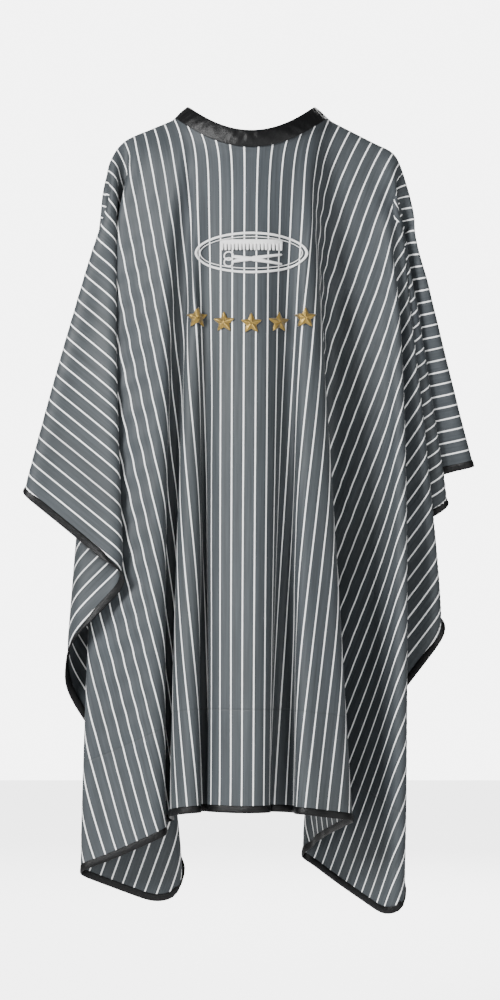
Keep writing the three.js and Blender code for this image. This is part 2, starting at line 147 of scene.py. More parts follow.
# ------------------------------------------------------------------ meshes
def new_mesh(name, points, faces, uv=None, smooth=True):
    """Makes an object from point and face arrays; uv holds one pair for each point."""
    mesh = bpy.data.meshes.new(name)
    mesh.from_pydata(np.asarray(points).tolist(), [], [tuple(int(i) for i in f) for f in faces])
    if uv is not None:
        layer = mesh.uv_layers.new(name="flat")
        corner = np.empty(len(mesh.loops), dtype=np.int32)
        mesh.loops.foreach_get("vertex_index", corner)
        layer.data.foreach_set("uv", np.asarray(uv, dtype=np.float32)[corner].ravel())
    mesh.validate()
    mesh.polygons.foreach_set("use_smooth", np.full(len(mesh.polygons), smooth))
    made = bpy.data.objects.new(name, mesh)
    bpy.context.scene.collection.objects.link(made)
    return made


def grid_faces(rows, columns, wrap=False, start=0, flip=False):
    """Quads of a grid of rows x columns points; wrap joins the last column to the first."""
    r, c = np.meshgrid(np.arange(rows - 1), np.arange(columns if wrap else columns - 1), indexing="ij")
    nxt = (c + 1) % columns
    quads = np.stack([r * columns + c, r * columns + nxt, (r + 1) * columns + nxt, (r + 1) * columns + c], -1)
    quads = quads.reshape(-1, 4) + start
    return quads[:, ::-1] if flip else quads


def unit(v):
    """Each vector over its own length."""
    return v / np.maximum(np.linalg.norm(v, axis=-1, keepdims=True), 1e-9)


def swept(rails, inward, normal, profile):
    """A closed tube: at each rail point, the profile's (inward, normal) pairs. Ends are capped by a fan."""
    a, b = np.asarray(profile, dtype=float).T
    ring = rails[:, None] + inward[:, None] * a[None, :, None] + normal[:, None] * b[None, :, None]
    count, sides = ring.shape[:2]
    points = ring.reshape(-1, 3)
    faces = [tuple(f) for f in grid_faces(count, sides, wrap=True)]
    points = np.vstack([points, ring[0].mean(0), ring[-1].mean(0)])
    first, last = len(points) - 2, len(points) - 1
    faces += [(first, (i + 1) % sides, i) for i in range(sides)]
    base = (count - 1) * sides
    faces += [(last, base + i, base + (i + 1) % sides) for i in range(sides)]
    return points, faces


def finish_shape(obj, levels=0, wall=0.0, offset=-1.0, inner_slot=0, rim_slot=0):
    """Applies subdivision and wall thickness, so that no modifier is left on the piece."""
    if levels:
        soft = obj.modifiers.new("soft", "SUBSURF")
        soft.levels = soft.render_levels = levels
    if wall:
        thick = obj.modifiers.new("wall", "SOLIDIFY")
        thick.thickness = wall
        thick.offset = offset
        thick.material_offset = inner_slot
        thick.material_offset_rim = rim_slot
    graph = bpy.context.evaluated_depsgraph_get()
    baked = bpy.data.meshes.new_from_object(obj.evaluated_get(graph), depsgraph=graph)
    obj.modifiers.clear()
    old = obj.data
    obj.data = baked
    bpy.data.meshes.remove(old)
    return obj


def outward_faces(obj):
    """Recalculates the normals of a closed shape so that its faces point out."""
    work = bmesh.new()
    work.from_mesh(obj.data)
    bmesh.ops.recalc_face_normals(work, faces=work.faces)
    work.to_mesh(obj.data)
    work.free()
    return obj


# ------------------------------------------------------------------ how the cloth hangs
def folded_line(corners, total, samples, rounding):
    """A folded line at even steps of its length: the headings of travel, and the drift. Each stretch
    between two corners has one heading, and a moving average over the rounding length bends the corners.
    The drift is how far the rounded line has run from its corners, read between them in a straight line."""
    corners = np.asarray(corners, dtype=float)
    steps = np.diff(corners, axis=0)
    lengths = np.hypot(steps[:, 0], steps[:, 1])
    headings = np.arctan2(steps[:, 1], steps[:, 0])
    ends = np.concatenate([[0], np.cumsum(lengths)]) * total / lengths.sum()
    s = np.linspace(0.0, total, samples)
    raw = headings[np.clip(np.searchsorted(ends, s) - 1, 0, len(headings) - 1)]
    span = max(1, int(round(rounding / total * samples)) | 1)
    padded = np.pad(raw, span // 2, mode="edge")
    heading = np.convolve(padded, np.ones(span) / span, mode="valid")[:samples]
    drift = []
    for axis, travel in enumerate((np.cos(heading), np.sin(heading))):
        line = running(travel, s[1] - s[0])
        drift.append(np.interp(s, ends, np.interp(ends, s, line) - (corners[:, axis] - corners[0, axis])))
    return heading, drift


def running(values, step):
    """Running integral along the last axis by the trapezoid rule, starting at zero."""
    middle = 0.5 * (values[..., 1:] + values[..., :-1]) * step
    return np.concatenate([np.zeros(values.shape[:-1] + (1,)), np.cumsum(middle, -1)], -1)


def dropped(level_x, level_y, distance, start_z):
    """Heights along fall lines: each step uses the length that the level travel leaves for falling."""
    dd = np.diff(distance, axis=0)
    level = np.hypot(np.diff(level_x, axis=0), np.diff(level_y, axis=0))
    fall = np.sqrt(np.maximum(dd**2 - level**2, (0.2 * dd) ** 2))
    return start_z - np.concatenate([np.zeros((1,) + fall.shape[1:]), np.cumsum(fall, 0)], 0)


def top_line(u, shoulder):
    """Where the fall line at flat distance u starts: the neck seam below the hole, the ridge beyond."""
    hole = np.minimum(u / HOLE[0], 1.0)
    along = np.clip((u - HOLE[0]) / (shoulder["flat"] - HOLE[0]), 0.0, 1.0)
    turn = np.arcsin(hole)
    x = np.where(u < HOLE[0], SEAM[0] * hole, SEAM[0] + (shoulder["x"] - SEAM[0]) * along)
    y = SEAM[1] * np.cos(turn)
    z = SEAM_SIDE_Z - SEAM_DIP * np.cos(turn) ** 2 + (shoulder["z"] - SEAM_SIDE_Z) * along
    return x, y, z


def chest_heading(u, shoulder, depth):
    """Heading of the level outline of the chest: it curves back as a fourth power towards the tip."""
    share = u / shoulder["flat"]
    return np.arctan(4 * (depth - TIP_ROUND) / shoulder["flat"] * share**3)


def hole_edge(u):
    """How far down the hole reaches at flat distance u: an ellipse, and nothing beyond it."""
    return HOLE[1] * np.sqrt(np.maximum(0, 1 - (u / HOLE[0]) ** 2))


def fall_lean(u, shoulder):
    """Flat angle of the front's fall line that starts at u: it swings out beside the neck in a smooth
    step, so that a pleat opens from there, and stays at the full lean as far as the tip."""
    t = np.clip((u - LEAN_FROM) / (LEAN_TO - LEAN_FROM), 0, 1)
    return shoulder["lean"] * t * t * (3 - 2 * t)


def fall_line_at(u, v, shoulder):
    """Which front fall line passes through a flat place, by halving the interval thirty times."""
    low, high = np.zeros(np.shape(u)), np.full(np.shape(u), shoulder["flat"])
    for _ in range(30):
        middle = (low + high) / 2
        short = middle + (v - hole_edge(middle)) * np.tan(fall_lean(middle, shoulder)) < u
        low, high = np.where(short, middle, low), np.where(short, high, middle)
    return low


def middle_front(shoulder):
    """The front between the middle and the tip's fall line, over distance down and starting place."""
    rows = np.linspace(0.0, 1.0, 110)
    fine_u = np.linspace(0.0, shoulder["flat"], 700)
    share = rows[:, None]
    lean = fall_lean(fine_u, shoulder)
    total = shoulder["flat"] + FRONT_LENGTH * shoulder["lean"]
    place = np.linspace(0, total, 1400)
    folded, drift = folded_line(shoulder["hem"], total, len(place), HEM_ROUNDING)
    at_hem = fine_u + FRONT_LENGTH * lean
    folded = np.interp(at_hem, place, folded)
    drift = [np.interp(at_hem, place, part) for part in drift]
    swing = np.exp(-(((fine_u - (LEAN_FROM + LEAN_TO) / 2) / (LEAN_TO - LEAN_FROM)) ** 2))
    growth = share ** (0.5 - 0.3 * swing)[None]
    heading = (1 - growth) * chest_heading(fine_u, shoulder, CHEST_DEPTH)[None] + growth * folded[None]
    steps = np.diff(fine_u[None] + share * FRONT_LENGTH * lean[None], axis=1)

    def travel(part):
        """Running sum of a level direction over the uneven steps between fall lines."""
        middle = 0.5 * (part[:, 1:] + part[:, :-1]) * steps
        return np.concatenate([np.zeros((len(rows), 1)), np.cumsum(middle, 1)], 1)

    x = shoulder["hem"][0][0] * share + travel(np.cos(heading)) - share * drift[0]
    y = -(CHEST_DEPTH + FRONT_FLARE * FRONT_LENGTH * share) + travel(np.sin(heading)) - share * drift[1]
    top_x, top_y, top_z = top_line(fine_u, shoulder)
    x = x + (top_x - x[0])[None] * ((1 - rows) ** 1.5)[:, None]
    down = share * ((FRONT_LENGTH - hole_edge(fine_u)) / np.cos(lean))[None]
    turn_round = np.maximum(0.006, np.abs(-y[0] - top_y))[None]
    settle = 1 - np.exp(-down / turn_round)
    y = -top_y[None] * (1 - settle) + y * settle
    z = dropped(x, y, down, top_z[None])
    return x, y, z, fine_u, down


def lookup(table, row, column):
    """Bilinear reading of a table at fractional rows and columns."""
    r0 = np.clip(np.floor(row).astype(int), 0, table.shape[0] - 2)
    c0 = np.clip(np.floor(column).astype(int), 0, table.shape[1] - 2)
    fr, fc = row - r0, column - c0
    low = table[r0, c0] * (1 - fc) + table[r0, c0 + 1] * fc
    high = table[r0 + 1, c0] * (1 - fc) + table[r0 + 1, c0 + 1] * fc
    return low * (1 - fr) + high * fr


def tip_fan(shoulder, front):
    """Tables of the cloth that falls from a shoulder tip, over distance and angle. Below the tip every
    distance repeats one folded line, so the cloth there is a pleated cone; near the tip the line opens
    into a half circle, as cloth does where it runs over a round shoulder."""
    x, y, _, _, down = front
    distance = TIP_REACH * np.linspace(0.0, 1.0, 130) ** 1.5
    angle = np.linspace(shoulder["lean"], HALF_TURN, 1441)
    span = HALF_TURN - shoulder["lean"]
    folded, drift = folded_line(np.radians(shoulder["tip_folds"]), span, len(angle), TIP_ROUNDING)
    growth = (1 - np.exp(-distance / TIP_OPENING))[:, None]
    round_tip = (angle - angle[0]) * HALF_TURN / span
    heading = (1 - growth) * round_tip[None] + growth * folded[None]
    start_x = np.interp(distance, down[:, -1], x[:, -1]) - shoulder["x"]
    start_y = np.interp(distance, down[:, -1], y[:, -1])
    past = np.maximum(distance - down[-1, -1], 0)
    start_x += past * (x[-1, -1] - x[-2, -1]) / (down[-1, -1] - down[-2, -1])
    start_y += past * (y[-1, -1] - y[-2, -1]) / (down[-1, -1] - down[-2, -1])
    step = angle[1] - angle[0]
    fan_x = start_x[:, None] + distance[:, None] * (running(np.cos(heading), step) - growth * drift[0])
    fan_y = start_y[:, None] + distance[:, None] * (running(np.sin(heading), step) - growth * drift[1])
    d = np.repeat(distance[:, None], len(angle), 1)
    fan_z = dropped(fan_x, fan_y, d, np.full((1, len(angle)), shoulder["z"]))
    return shoulder["x"] + fan_x, fan_y, fan_z, distance, angle


def read_fan(fan, distance, angle):
    """Points of the fan at given distances and angles."""
    x, y, z, distances, angles = fan
    row = np.interp(distance, distances, np.arange(len(distances)))
    column = np.interp(angle, angles, np.arange(len(angles)))
    return np.stack([lookup(t, row, column) for t in (x, y, z)], -1)


def middle_back(shoulder, fan):
    """The back from the tip's rear fall line in to the slit, with two low waves that grow downwards."""
    rows = np.linspace(0.0, 1.0, 50)
    fine_u = np.linspace(0.0, shoulder["flat"], 260)
    step = fine_u[1] - fine_u[0]
    inward = fine_u[::-1]
    growth = (rows**0.7)[:, None]
    chest = HALF_TURN - chest_heading(inward, shoulder, BACK_DEPTH)[None]
    wave = 0.75 * np.sin(2 * HALF_TURN * 2.2 * inward / shoulder["flat"] + 0.6)[None]
    heading = chest * (1 - growth) + (HALF_TURN + wave) * growth
    line = read_fan(fan, rows * BACK_LENGTH, np.full(len(rows), HALF_TURN))
    x = (line[:, :1] + running(np.cos(heading), step))[:, ::-1]
    y = (line[:, 1:2] + running(np.sin(heading), step))[:, ::-1]
    top_x, top_y, top_z = top_line(fine_u, shoulder)
    x = x + (top_x - x[0])[None] * ((1 - rows) ** 1.5)[:, None]
    length = BACK_LENGTH - HOLE[1] * np.sqrt(np.maximum(0, 1 - (fine_u / HOLE[0]) ** 2))
    down = rows[:, None] * length[None]
    turn_round = np.maximum(0.006, np.abs(y[0] - top_y))[None]
    settle = 1 - np.exp(-down / turn_round)
    y = top_y[None] * (1 - settle) + y * settle
    z = dropped(x, y, down, top_z[None])
    return x, y, z, fine_u, down


def read_middle(tables, u, distance):
    """Points of a middle table at flat distance u and distance down."""
    x, y, z, fine_u, down = tables
    column = np.interp(u, fine_u, np.arange(len(fine_u)))
    length = np.interp(u, fine_u, down[-1])
    row = distance / length * (x.shape[0] - 1)
    return np.stack([lookup(t, row, column) for t in (x, y, z)], -1)


def flat_columns(shoulder):
    """Flat distances of the grid's columns: closer at the hole's side, even beyond the tip."""
    neck = HOLE[0] * np.sin(np.linspace(0, HALF_TURN / 2, NECK_COLUMNS + 1))
    ridge = np.linspace(HOLE[0], shoulder["flat"], RIDGE_COLUMNS + 1)[1:]
    fall = np.linspace(shoulder["flat"], HALF_WIDTH, FALL_COLUMNS + 1)[1:]
    return np.concatenate([neck, ridge, fall])


def flat_grid(u, length, rows):
    """Flat v of every grid point of a flap: from the hole or ridge to the hem, with a round corner."""
    start = HOLE[1] * np.sqrt(np.maximum(0, 1 - (u / HOLE[0]) ** 2))
    beyond = np.clip(u - (HALF_WIDTH - CORNER_ROUND), 0, CORNER_ROUND)
    end = length - (CORNER_ROUND - np.sqrt(CORNER_ROUND**2 - beyond**2))
    t = np.linspace(0, 1, rows + 1)[:, None]
    return start[None] + (end - start)[None] * t


def hang(shoulder):
    """Flat places and hung places of one side's front and back flaps, as grids of rows x columns."""
    u = flat_columns(shoulder)
    front = middle_front(shoulder)
    fan = tip_fan(shoulder, front)
    back = middle_back(shoulder, fan)
    flaps = []
    for facing, length, rows, middle in ((-1, FRONT_LENGTH, FRONT_ROWS, front),
                                         (1, BACK_LENGTH, BACK_ROWS, back)):
        v = flat_grid(u, length, rows)
        uu = np.broadcast_to(u, v.shape)
        out = np.maximum(uu - shoulder["flat"], 0)
        if facing < 0:
            line = fall_line_at(uu, v, shoulder)
            lean = fall_lean(line, shoulder)
            angle = np.arctan2(out, np.maximum(v, 1e-9))
            beyond = angle > shoulder["lean"]
        else:
            line, lean = np.minimum(uu, shoulder["flat"]), 0.0
            angle = HALF_TURN - np.arctan2(out, v)
            beyond = uu > shoulder["flat"]
        inner = read_middle(middle, line, (v - hole_edge(line)) / np.cos(lean))
        outer = read_fan(fan, np.hypot(out, v), angle)
        hung = np.where(beyond[..., None], outer, inner)
        hung[..., 0] *= shoulder["side"]
        flaps.append((np.stack([uu * shoulder["side"], facing * v], -1), hung))
    return flaps


def cloth_grids():
    """The whole cloth as one list of points. Left and right share the front's middle column, and front
    and back share the ridge beyond the hole. Gives flat and hung points, index grids and faces."""
    flat, hung, grids = [], [], {}
    count = 0
    for name, shoulder in SIDES.items():
        flaps = hang(shoulder)
        for flap_name, (flat_part, hung_part) in zip(("front", "back"), flaps):
            rows, columns = flat_part.shape[:2]
            index = np.arange(count, count + rows * columns).reshape(rows, columns)
            flat.append(flat_part.reshape(-1, 2))
            hung.append(hung_part.reshape(-1, 3))
            grids[name, flap_name] = index
            count += rows * columns
    same = np.arange(count)
    same[grids["right", "front"][:, 0]] = grids["left", "front"][:, 0]
    for name in SIDES:
        same[grids[name, "back"][0, NECK_COLUMNS:]] = grids[name, "front"][0, NECK_COLUMNS:]
    used, compact = np.unique(same, return_inverse=True)
    flat, hung = np.concatenate(flat)[used], np.concatenate(hung)[used]
    grids = {key: compact[index] for key, index in grids.items()}
    faces = []
    for (name, flap), index in grids.items():
        quads = np.stack([index[:-1, :-1], index[:-1, 1:], index[1:, 1:], index[1:, :-1]], -1).reshape(-1, 4)
        faces.append(quads if (name == "right") == (flap == "back") else quads[:, ::-1])
    return flat, hung, grids, np.concatenate(faces)


def constraint_pairs(flat, grids):
    """Pairs that hold their flat distance (threads and both diagonals), and pairs two apart that only
    resist bending. Gives the two ends, the flat length and the stiffness of each."""
    firm, loose = [], []
    for index in grids.values():
        for step in (1, 2):
            kept = firm if step == 1 else loose
            kept.append(np.stack([index[:-step].ravel(), index[step:].ravel()], -1))
            kept.append(np.stack([index[:, :-step].ravel(), index[:, step:].ravel()], -1))
        loose.append(np.stack([index[:-1, :-1].ravel(), index[1:, 1:].ravel()], -1))
        loose.append(np.stack([index[:-1, 1:].ravel(), index[1:, :-1].ravel()], -1))
    firm, loose = np.concatenate(firm), np.concatenate(loose)
    pairs = np.concatenate([firm, loose])
    stiffness = np.concatenate([np.ones(len(firm)), np.full(len(loose), LOOSE_STIFFNESS)])
    length = np.linalg.norm(flat[pairs[:, 0]] - flat[pairs[:, 1]], axis=1)
    return pairs, length, stiffness


def relax(flat, hung, grids, rounds):
    """Settles the hung cloth: every round moves the two ends of each pair towards their flat distance,
    takes the mean of the moves at a point, adds a little weight and holds the neck seam and ridges."""
    pairs, length, stiffness = constraint_pairs(flat, grids)
    held = np.zeros(len(flat), dtype=bool)
    for index in grids.values():
        held[index[0, :NECK_COLUMNS + RIDGE_COLUMNS + 1]] = True
    seam = held[pairs].all(1)
    length = np.where(seam, np.linalg.norm(hung[pairs[:, 0]] - hung[pairs[:, 1]], axis=1), length)
    a, b = pairs.T
    share = np.bincount(np.concatenate([a, b]), np.concatenate([stiffness, stiffness]), len(flat))
    place, target = hung.copy(), hung.copy()
    for _ in range(rounds):
        gap = place[b] - place[a]
        size = np.maximum(np.linalg.norm(gap, axis=1), 1e-6)
        move = gap * (stiffness * (size - length) / size * 0.5)[:, None]
        total = np.stack([np.bincount(a, move[:, k], len(flat)) - np.bincount(b, move[:, k], len(flat))
                          for k in range(3)], -1)
        step = SETTLE_STEP * total / share[:, None]
        step[:, 2] -= SETTLE_WEIGHT
        step += SETTLE_RETURN * (target - place)
        step[held] = 0
        place += step
    return place


def neighbour_frames(place, edge, inner):
    """Along a cloth edge: the way into the cloth, and the cloth's normal."""
    tangent = unit(np.gradient(place[edge], axis=0))
    inward = place[inner] - place[edge]
    inward = unit(inward - tangent * (inward * tangent).sum(1, keepdims=True))
    return inward, np.cross(tangent, inward)


cloth_state = {}


def hung_cloth():
    """The settled cloth, worked out once and shared by the pieces that lie on it."""
    if not cloth_state:
        settings = bpy.context.scene.cape_cloth
        flat, hung, grids, faces = cloth_grids()
        rounds = settings.settling
        place = relax(flat, hung, grids, rounds)
        cloth_state.update(flat=flat, place=place, grids=grids, faces=faces)
    return cloth_state


# ------------------------------------------------------------------ pieces of cloth
# Half outline of the folded binding strip, as (into the cloth, off the cloth), and its mirror image.
BINDING_SIDE = [(0.0100, 0.0006), (0.0085, 0.0014), (0.0040, 0.0017), (0.0004, 0.0015), (-0.0012, 0.0008)]
BINDING_PROFILE = BINDING_SIDE + [(inward, -off) for inward, off in BINDING_SIDE[::-1]]


def strip_uv(rails, sides):
    """Length along the strip and place round it, for each point of a swept tube and its two end points."""
    along = np.concatenate([[0], np.cumsum(np.linalg.norm(np.diff(rails, axis=0), axis=1))])
    around = np.arange(sides) / sides
    grid = np.stack(np.broadcast_arrays(along[:, None], around[None]), -1).reshape(-1, 2)
    return np.vstack([grid, [along[0], 0.5], [along[-1], 0.5]])


def binding(name, edge, inner, nodes):
    """A folded satin strip over a cloth edge, swept along the edge's points."""
    place = hung_cloth()["place"]
    inward, normal = neighbour_frames(place, edge, inner)
    points, faces = swept(place[edge], inward, normal, BINDING_PROFILE)
    made = new_mesh(name, points, faces, strip_uv(place[edge], len(BINDING_PROFILE)))
    outward_faces(made)
    finish_shape(made, levels=1)
    dress(made, satin("binding satin", 0.9))
    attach(made, FIXED)
    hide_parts(*nodes)
    return made


def edge_loops(grids):
    """The cloth's outer edge from slit to slit, and its two slit edges, each with the points just inside."""
    outer, inside = [], []
    for name, order in (("left", 1), ("right", -1)):
        front, back = grids[name, "front"], grids[name, "back"]
        edge = [back[-1, :], back[-2::-1, -1], front[1:, -1], front[-1, -2::-1]]
        near = [back[-2, :], back[-2::-1, -2], front[1:, -2], front[-2, -2::-1]]
        edge, near = np.concatenate(edge), np.concatenate(near)
        if order < 0:
            edge, near = edge[::-1][1:], near[::-1][1:]
        outer.append(edge)
        inside.append(near)
    slits = {name: (grids[name, "back"][:, 0], grids[name, "back"][:, 1]) for name in SIDES}
    return np.concatenate(outer), np.concatenate(inside), slits


def build_cloth():
    """The one sheet of striped cloth, with its flat cut as UV in metres, so that stripes follow the cloth."""
    state = hung_cloth()
    made = new_mesh("cape_cloth", state["place"], state["faces"], state["flat"])
    finish_shape(made, levels=1)
    finish_shape(made, wall=CLOTH_WALL, offset=0.0, inner_slot=1, rim_slot=1)
    made.data.materials.append(cloth_material("striped cloth", 1.0))
    made.data.materials.append(cloth_material("striped cloth, reverse", 0.62))
    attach(made, FIXED)
    panels = ["front_panel"] + [f"{part}_{side}" for side in SIDES
                                for part in ("front_wing", "sleeve_fall", "back_flap")]
    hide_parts(*panels)
    return made


def build_bindings():
    """Satin strips round the outer edge and down both edges of the slit."""
    outer, inside, slits = edge_loops(hung_cloth()["grids"])
    hems = ["front_hem_binding"] + [f"{part}_hem_binding_{side}" for side in SIDES
                                    for part in ("wing", "side", "back")]
    pieces = [binding("hem_binding", outer, inside, hems)]
    for side, (edge, near) in slits.items():
        pieces.append(binding(f"slit_edge_{side}", edge, near, [f"slit_binding_{side}"]))
    return pieces


# ------------------------------------------------------------------ neckband and closure
BAND_SEAM = np.array([0.114, 0.062])
BAND_TOP = np.array([0.094, 0.057])
BAND_HEIGHT = 0.022
BAND_LIFT = 0.0023
BAND_EDGE_DROP = 0.0052
BAND_EDGE_OUT = 0.0006
STRAP_HALF = 0.034
STRAP_WALL = 0.0018


def band_surface(turn, height):
    """Point of the neckband: two ellipses, one above the other, that both dip at the front and back."""
    half = BAND_SEAM + (BAND_TOP - BAND_SEAM) * height[..., None]
    dip = np.cos(turn) ** 2
    z = SEAM_SIDE_Z - SEAM_DIP * dip + height * BAND_HEIGHT * (0.6 + 0.4 * dip) + BAND_LIFT
    return np.stack([half[..., 0] * np.sin(turn), -half[..., 1] * np.cos(turn), z], -1)


def build_neckband():
    """The satin band: its section is a soft, flat loop, and slanting pull wrinkles run across it."""
    turns, sides = 320, 40
    reach = HALF_TURN - np.arcsin(STRAP_HALF / BAND_TOP[0])
    turn = np.linspace(-reach, reach, turns)[:, None]
    loop = np.linspace(0, 2 * HALF_TURN, sides, endpoint=False)[None]
    height = 0.5 + 0.5 * np.sin(loop) * (1 + 0.06 * np.cos(2 * loop))
    turn, height, loop = np.broadcast_arrays(turn, np.clip(height, 0, 1), loop)
    base = band_surface(turn, height)
    out = unit(np.stack([np.sin(turn) / BAND_SEAM[0], -np.cos(turn) / BAND_SEAM[1], 0 * turn], -1))
    puff = np.cos(loop)
    slant = 0.55 * np.sin(26 * turn + 5.0 * height + 1.2 * np.sin(9 * turn))
    slant += 0.35 * np.sin(47 * turn - 6.5 * height + 2.0 * np.sin(5 * turn + 1.0))
    middle = np.sin(HALF_TURN * np.clip(height, 0, 1))
    wall = 0.0012 + 0.0010 * middle + 0.00055 * slant * middle
    base[..., 2] -= BAND_EDGE_DROP * (1 - height)
    points = (base + out * BAND_EDGE_OUT + out * (np.sign(puff) * np.abs(puff) ** 0.35 * wall)[..., None])
    ends = points.mean(1)[[0, -1]]
    faces = [tuple(f) for f in grid_faces(turns, sides, wrap=True)]
    first = turns * sides
    faces += [(first, (i + 1) % sides, i) for i in range(sides)]
    base_index = (turns - 1) * sides
    faces += [(first + 1, base_index + i, base_index + (i + 1) % sides) for i in range(sides)]
    points = np.vstack([points.reshape(-1, 3), ends])
    uv = np.vstack([np.stack([turn * 0.1, height * BAND_HEIGHT], -1).reshape(-1, 2), [[0, 0], [0, 0]]])
    made = outward_faces(new_mesh("neckband", points, faces, uv))
    dress(made, satin("band satin", 1.0))
    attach(made, FIXED)
    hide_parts("neckband_outer", "neckband_interfacing", "neckband_lining")
    return made


def closure_axes():
    """The nape's own directions: along the band, out of it, and up it."""
    up = np.array(HINGE["axis"], dtype=float)
    along = np.array([1.0, 0.0, 0.0])
    return along, np.cross(up, along), up


def node_middle(node):
    """The middle of a CAD node's box."""
    low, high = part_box(node)
    return np.array((low + high) / 2)


def strap(name, nodes, grow_from, grow_to, wall, body):
    """A flat satin strap with soft rounded edges over the length of its CAD nodes: a super-ellipse in
    outline, thinning to its rim, with two lines of stitches pressed in."""
    along, out, up = closure_axes()
    boxes = [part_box(n) for n in nodes]
    low = min(b[0].x for b in boxes) + grow_from
    high = max(b[1].x for b in boxes) + grow_to
    middle = np.mean([node_middle(n) for n in nodes], axis=0)
    half_length, half_height = (high - low) / 2, 0.0095
    rows, columns = 90, 34
    s = np.linspace(-1, 1, rows)[:, None]
    t = np.linspace(-1, 1, columns)[None]
    edge = (1 - np.abs(s) ** 14) ** (1 / 14)
    x = half_length * s + 0 * t
    z = half_height * t * np.maximum(edge, 0.02)
    rim = ((1 - np.abs(t) ** 6) * (1 - np.abs(s) ** 30)) ** 0.5
    stitch = np.exp(-((np.abs(t) - 0.82) / 0.05) ** 2) * 0.12 * (0.6 + 0.4 * np.sin(s * half_length * 2100))
    lift = wall / 2 * np.clip(rim - stitch, 0, 1)
    middle = np.array([(low + high) / 2, middle[1], middle[2]])
    sheet = middle + x[..., None] * along + z[..., None] * up
    top, under = sheet + lift[..., None] * out, sheet - lift[..., None] * out
    points = np.vstack([top.reshape(-1, 3), under.reshape(-1, 3)])
    faces = np.vstack([grid_faces(rows, columns), grid_faces(rows, columns, start=rows * columns, flip=True)])
    uv = np.stack(np.broadcast_arrays(x, z), -1).reshape(-1, 2)
    made = new_mesh(name, points, faces, np.vstack([uv, uv]))
    weld(made, 1e-6)
    outward_faces(made)
    dress(made, satin("band satin", 1.0))
    if body:
        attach(made, body)
    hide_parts(*nodes)
    return made


def weld(obj, distance):
    """Merges doubled points, as where two skins meet at a rim."""
    work = bmesh.new()
    work.from_mesh(obj.data)
    bmesh.ops.remove_doubles(work, verts=work.verts, dist=distance)
    work.to_mesh(obj.data)
    work.free()


def build_closure():
    """The fixed underlap, and the free tab."""
    under = strap("underlap_strap", ["neckband_underlap"], 0, 0, STRAP_WALL, FIXED)
    tab = strap("closure_strap", ["closure_tab", "tab_root"], 0, 0, STRAP_WALL, None)
    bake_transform(tab)
    return [under, tab]


def turned(name, node, profile, finish, body, reverse=False):
    """A lathe-turned press-snap piece: (radius, height) pairs in millimetres spun about the snap's axis,
    with rounded corners from two rounds of corner cutting."""
    along, out, up = closure_axes()
    line = np.array(profile, dtype=float) * MM
    for _ in range(2):
        near, far = 0.82 * line[:-1] + 0.18 * line[1:], 0.18 * line[:-1] + 0.82 * line[1:]
        cut = np.stack([near, far], 1).reshape(-1, 2)
        line = np.vstack([line[:1], cut[1:-1], line[-1:]])
    line[:, 0] = np.maximum(line[:, 0], 1e-6)
    spin = np.linspace(0, 2 * HALF_TURN, 40, endpoint=False)
    axis = -out if reverse else out
    height = line[:, 1] - (line[:, 1].max() + line[:, 1].min()) / 2
    ring = (node_middle(node) + line[:, :1, None] * (np.cos(spin)[None, :, None] * along
            + np.sin(spin)[None, :, None] * up) + height[:, None, None] * axis)
    made = new_mesh(name, ring.reshape(-1, 3), grid_faces(len(line), len(spin), wrap=True))
    weld(made, 1e-5)
    outward_faces(made)
    dress(made, finish)
    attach(made, body)
    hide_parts(node)
    return made


# Snap profiles, as (radius, height) in millimetres.
CAP = [(0, 1.35), (2.0, 1.32), (3.6, 1.1), (4.6, 0.7), (5.2, 0.75), (5.5, 0.45), (5.4, 0.05), (0, 0.0)]
SOCKET = [(2.6, 0.0), (4.3, 0.0), (4.6, 0.4), (4.6, 1.6), (4.2, 2.0), (3.2, 2.0), (2.7, 1.6), (2.6, 0.0)]
STUD = [(0, 2.2), (1.2, 2.15), (1.85, 1.6), (1.55, 0.95), (2.0, 0.72), (4.0, 0.68), (4.35, 0.4), (4.3, 0),
        (0, 0)]
BACK = [(0, 0.9), (1.4, 0.9), (1.7, 0.6), (3.6, 0.75), (4.2, 0.4), (4.3, 0.0), (0, 0.0)]


def build_snaps():
    """Caps and sockets on the tab, studs and their backs on the underlap."""
    nickel = metal("nickel plate")
    made = []
    for i in (1, 2):
        made.append(turned(f"cap_{i}", f"snap_cap_{i}", CAP, nickel, MOVING))
        made.append(turned(f"socket_{i}", f"snap_socket_{i}", SOCKET, nickel, MOVING))
    for i in range(1, 5):
        made.append(turned(f"stud_{i}", f"snap_stud_{i}", STUD, nickel, FIXED))
        made.append(turned(f"stud_back_{i}", f"snap_back_{i}", BACK, nickel, FIXED, reverse=True))
    return made


# ------------------------------------------------------------------ embroidery
def smooth_read(table, row, column):
    """Reading of a table of points as a cubic B-spline, which is what subdivision makes of the cloth."""
    first, second = np.floor(row).astype(int), np.floor(column).astype(int)

    def weights(t):
        """The four cubic weights of a B-spline at fraction t."""
        return np.stack([(1 - t) ** 3, 3 * t**3 - 6 * t**2 + 4, -3 * t**3 + 3 * t**2 + 3 * t + 1, t**3]) / 6

    down, across = weights(row - first), weights(column - second)
    rows = np.clip(first + np.arange(-1, 3)[:, None], 0, table.shape[0] - 1)
    columns = np.clip(second + np.arange(-1, 3)[:, None], 0, table.shape[1] - 1)
    near = table[rows[:, None], columns[None]]
    return np.einsum("in,jn,ijnk->nk", down, across, near)


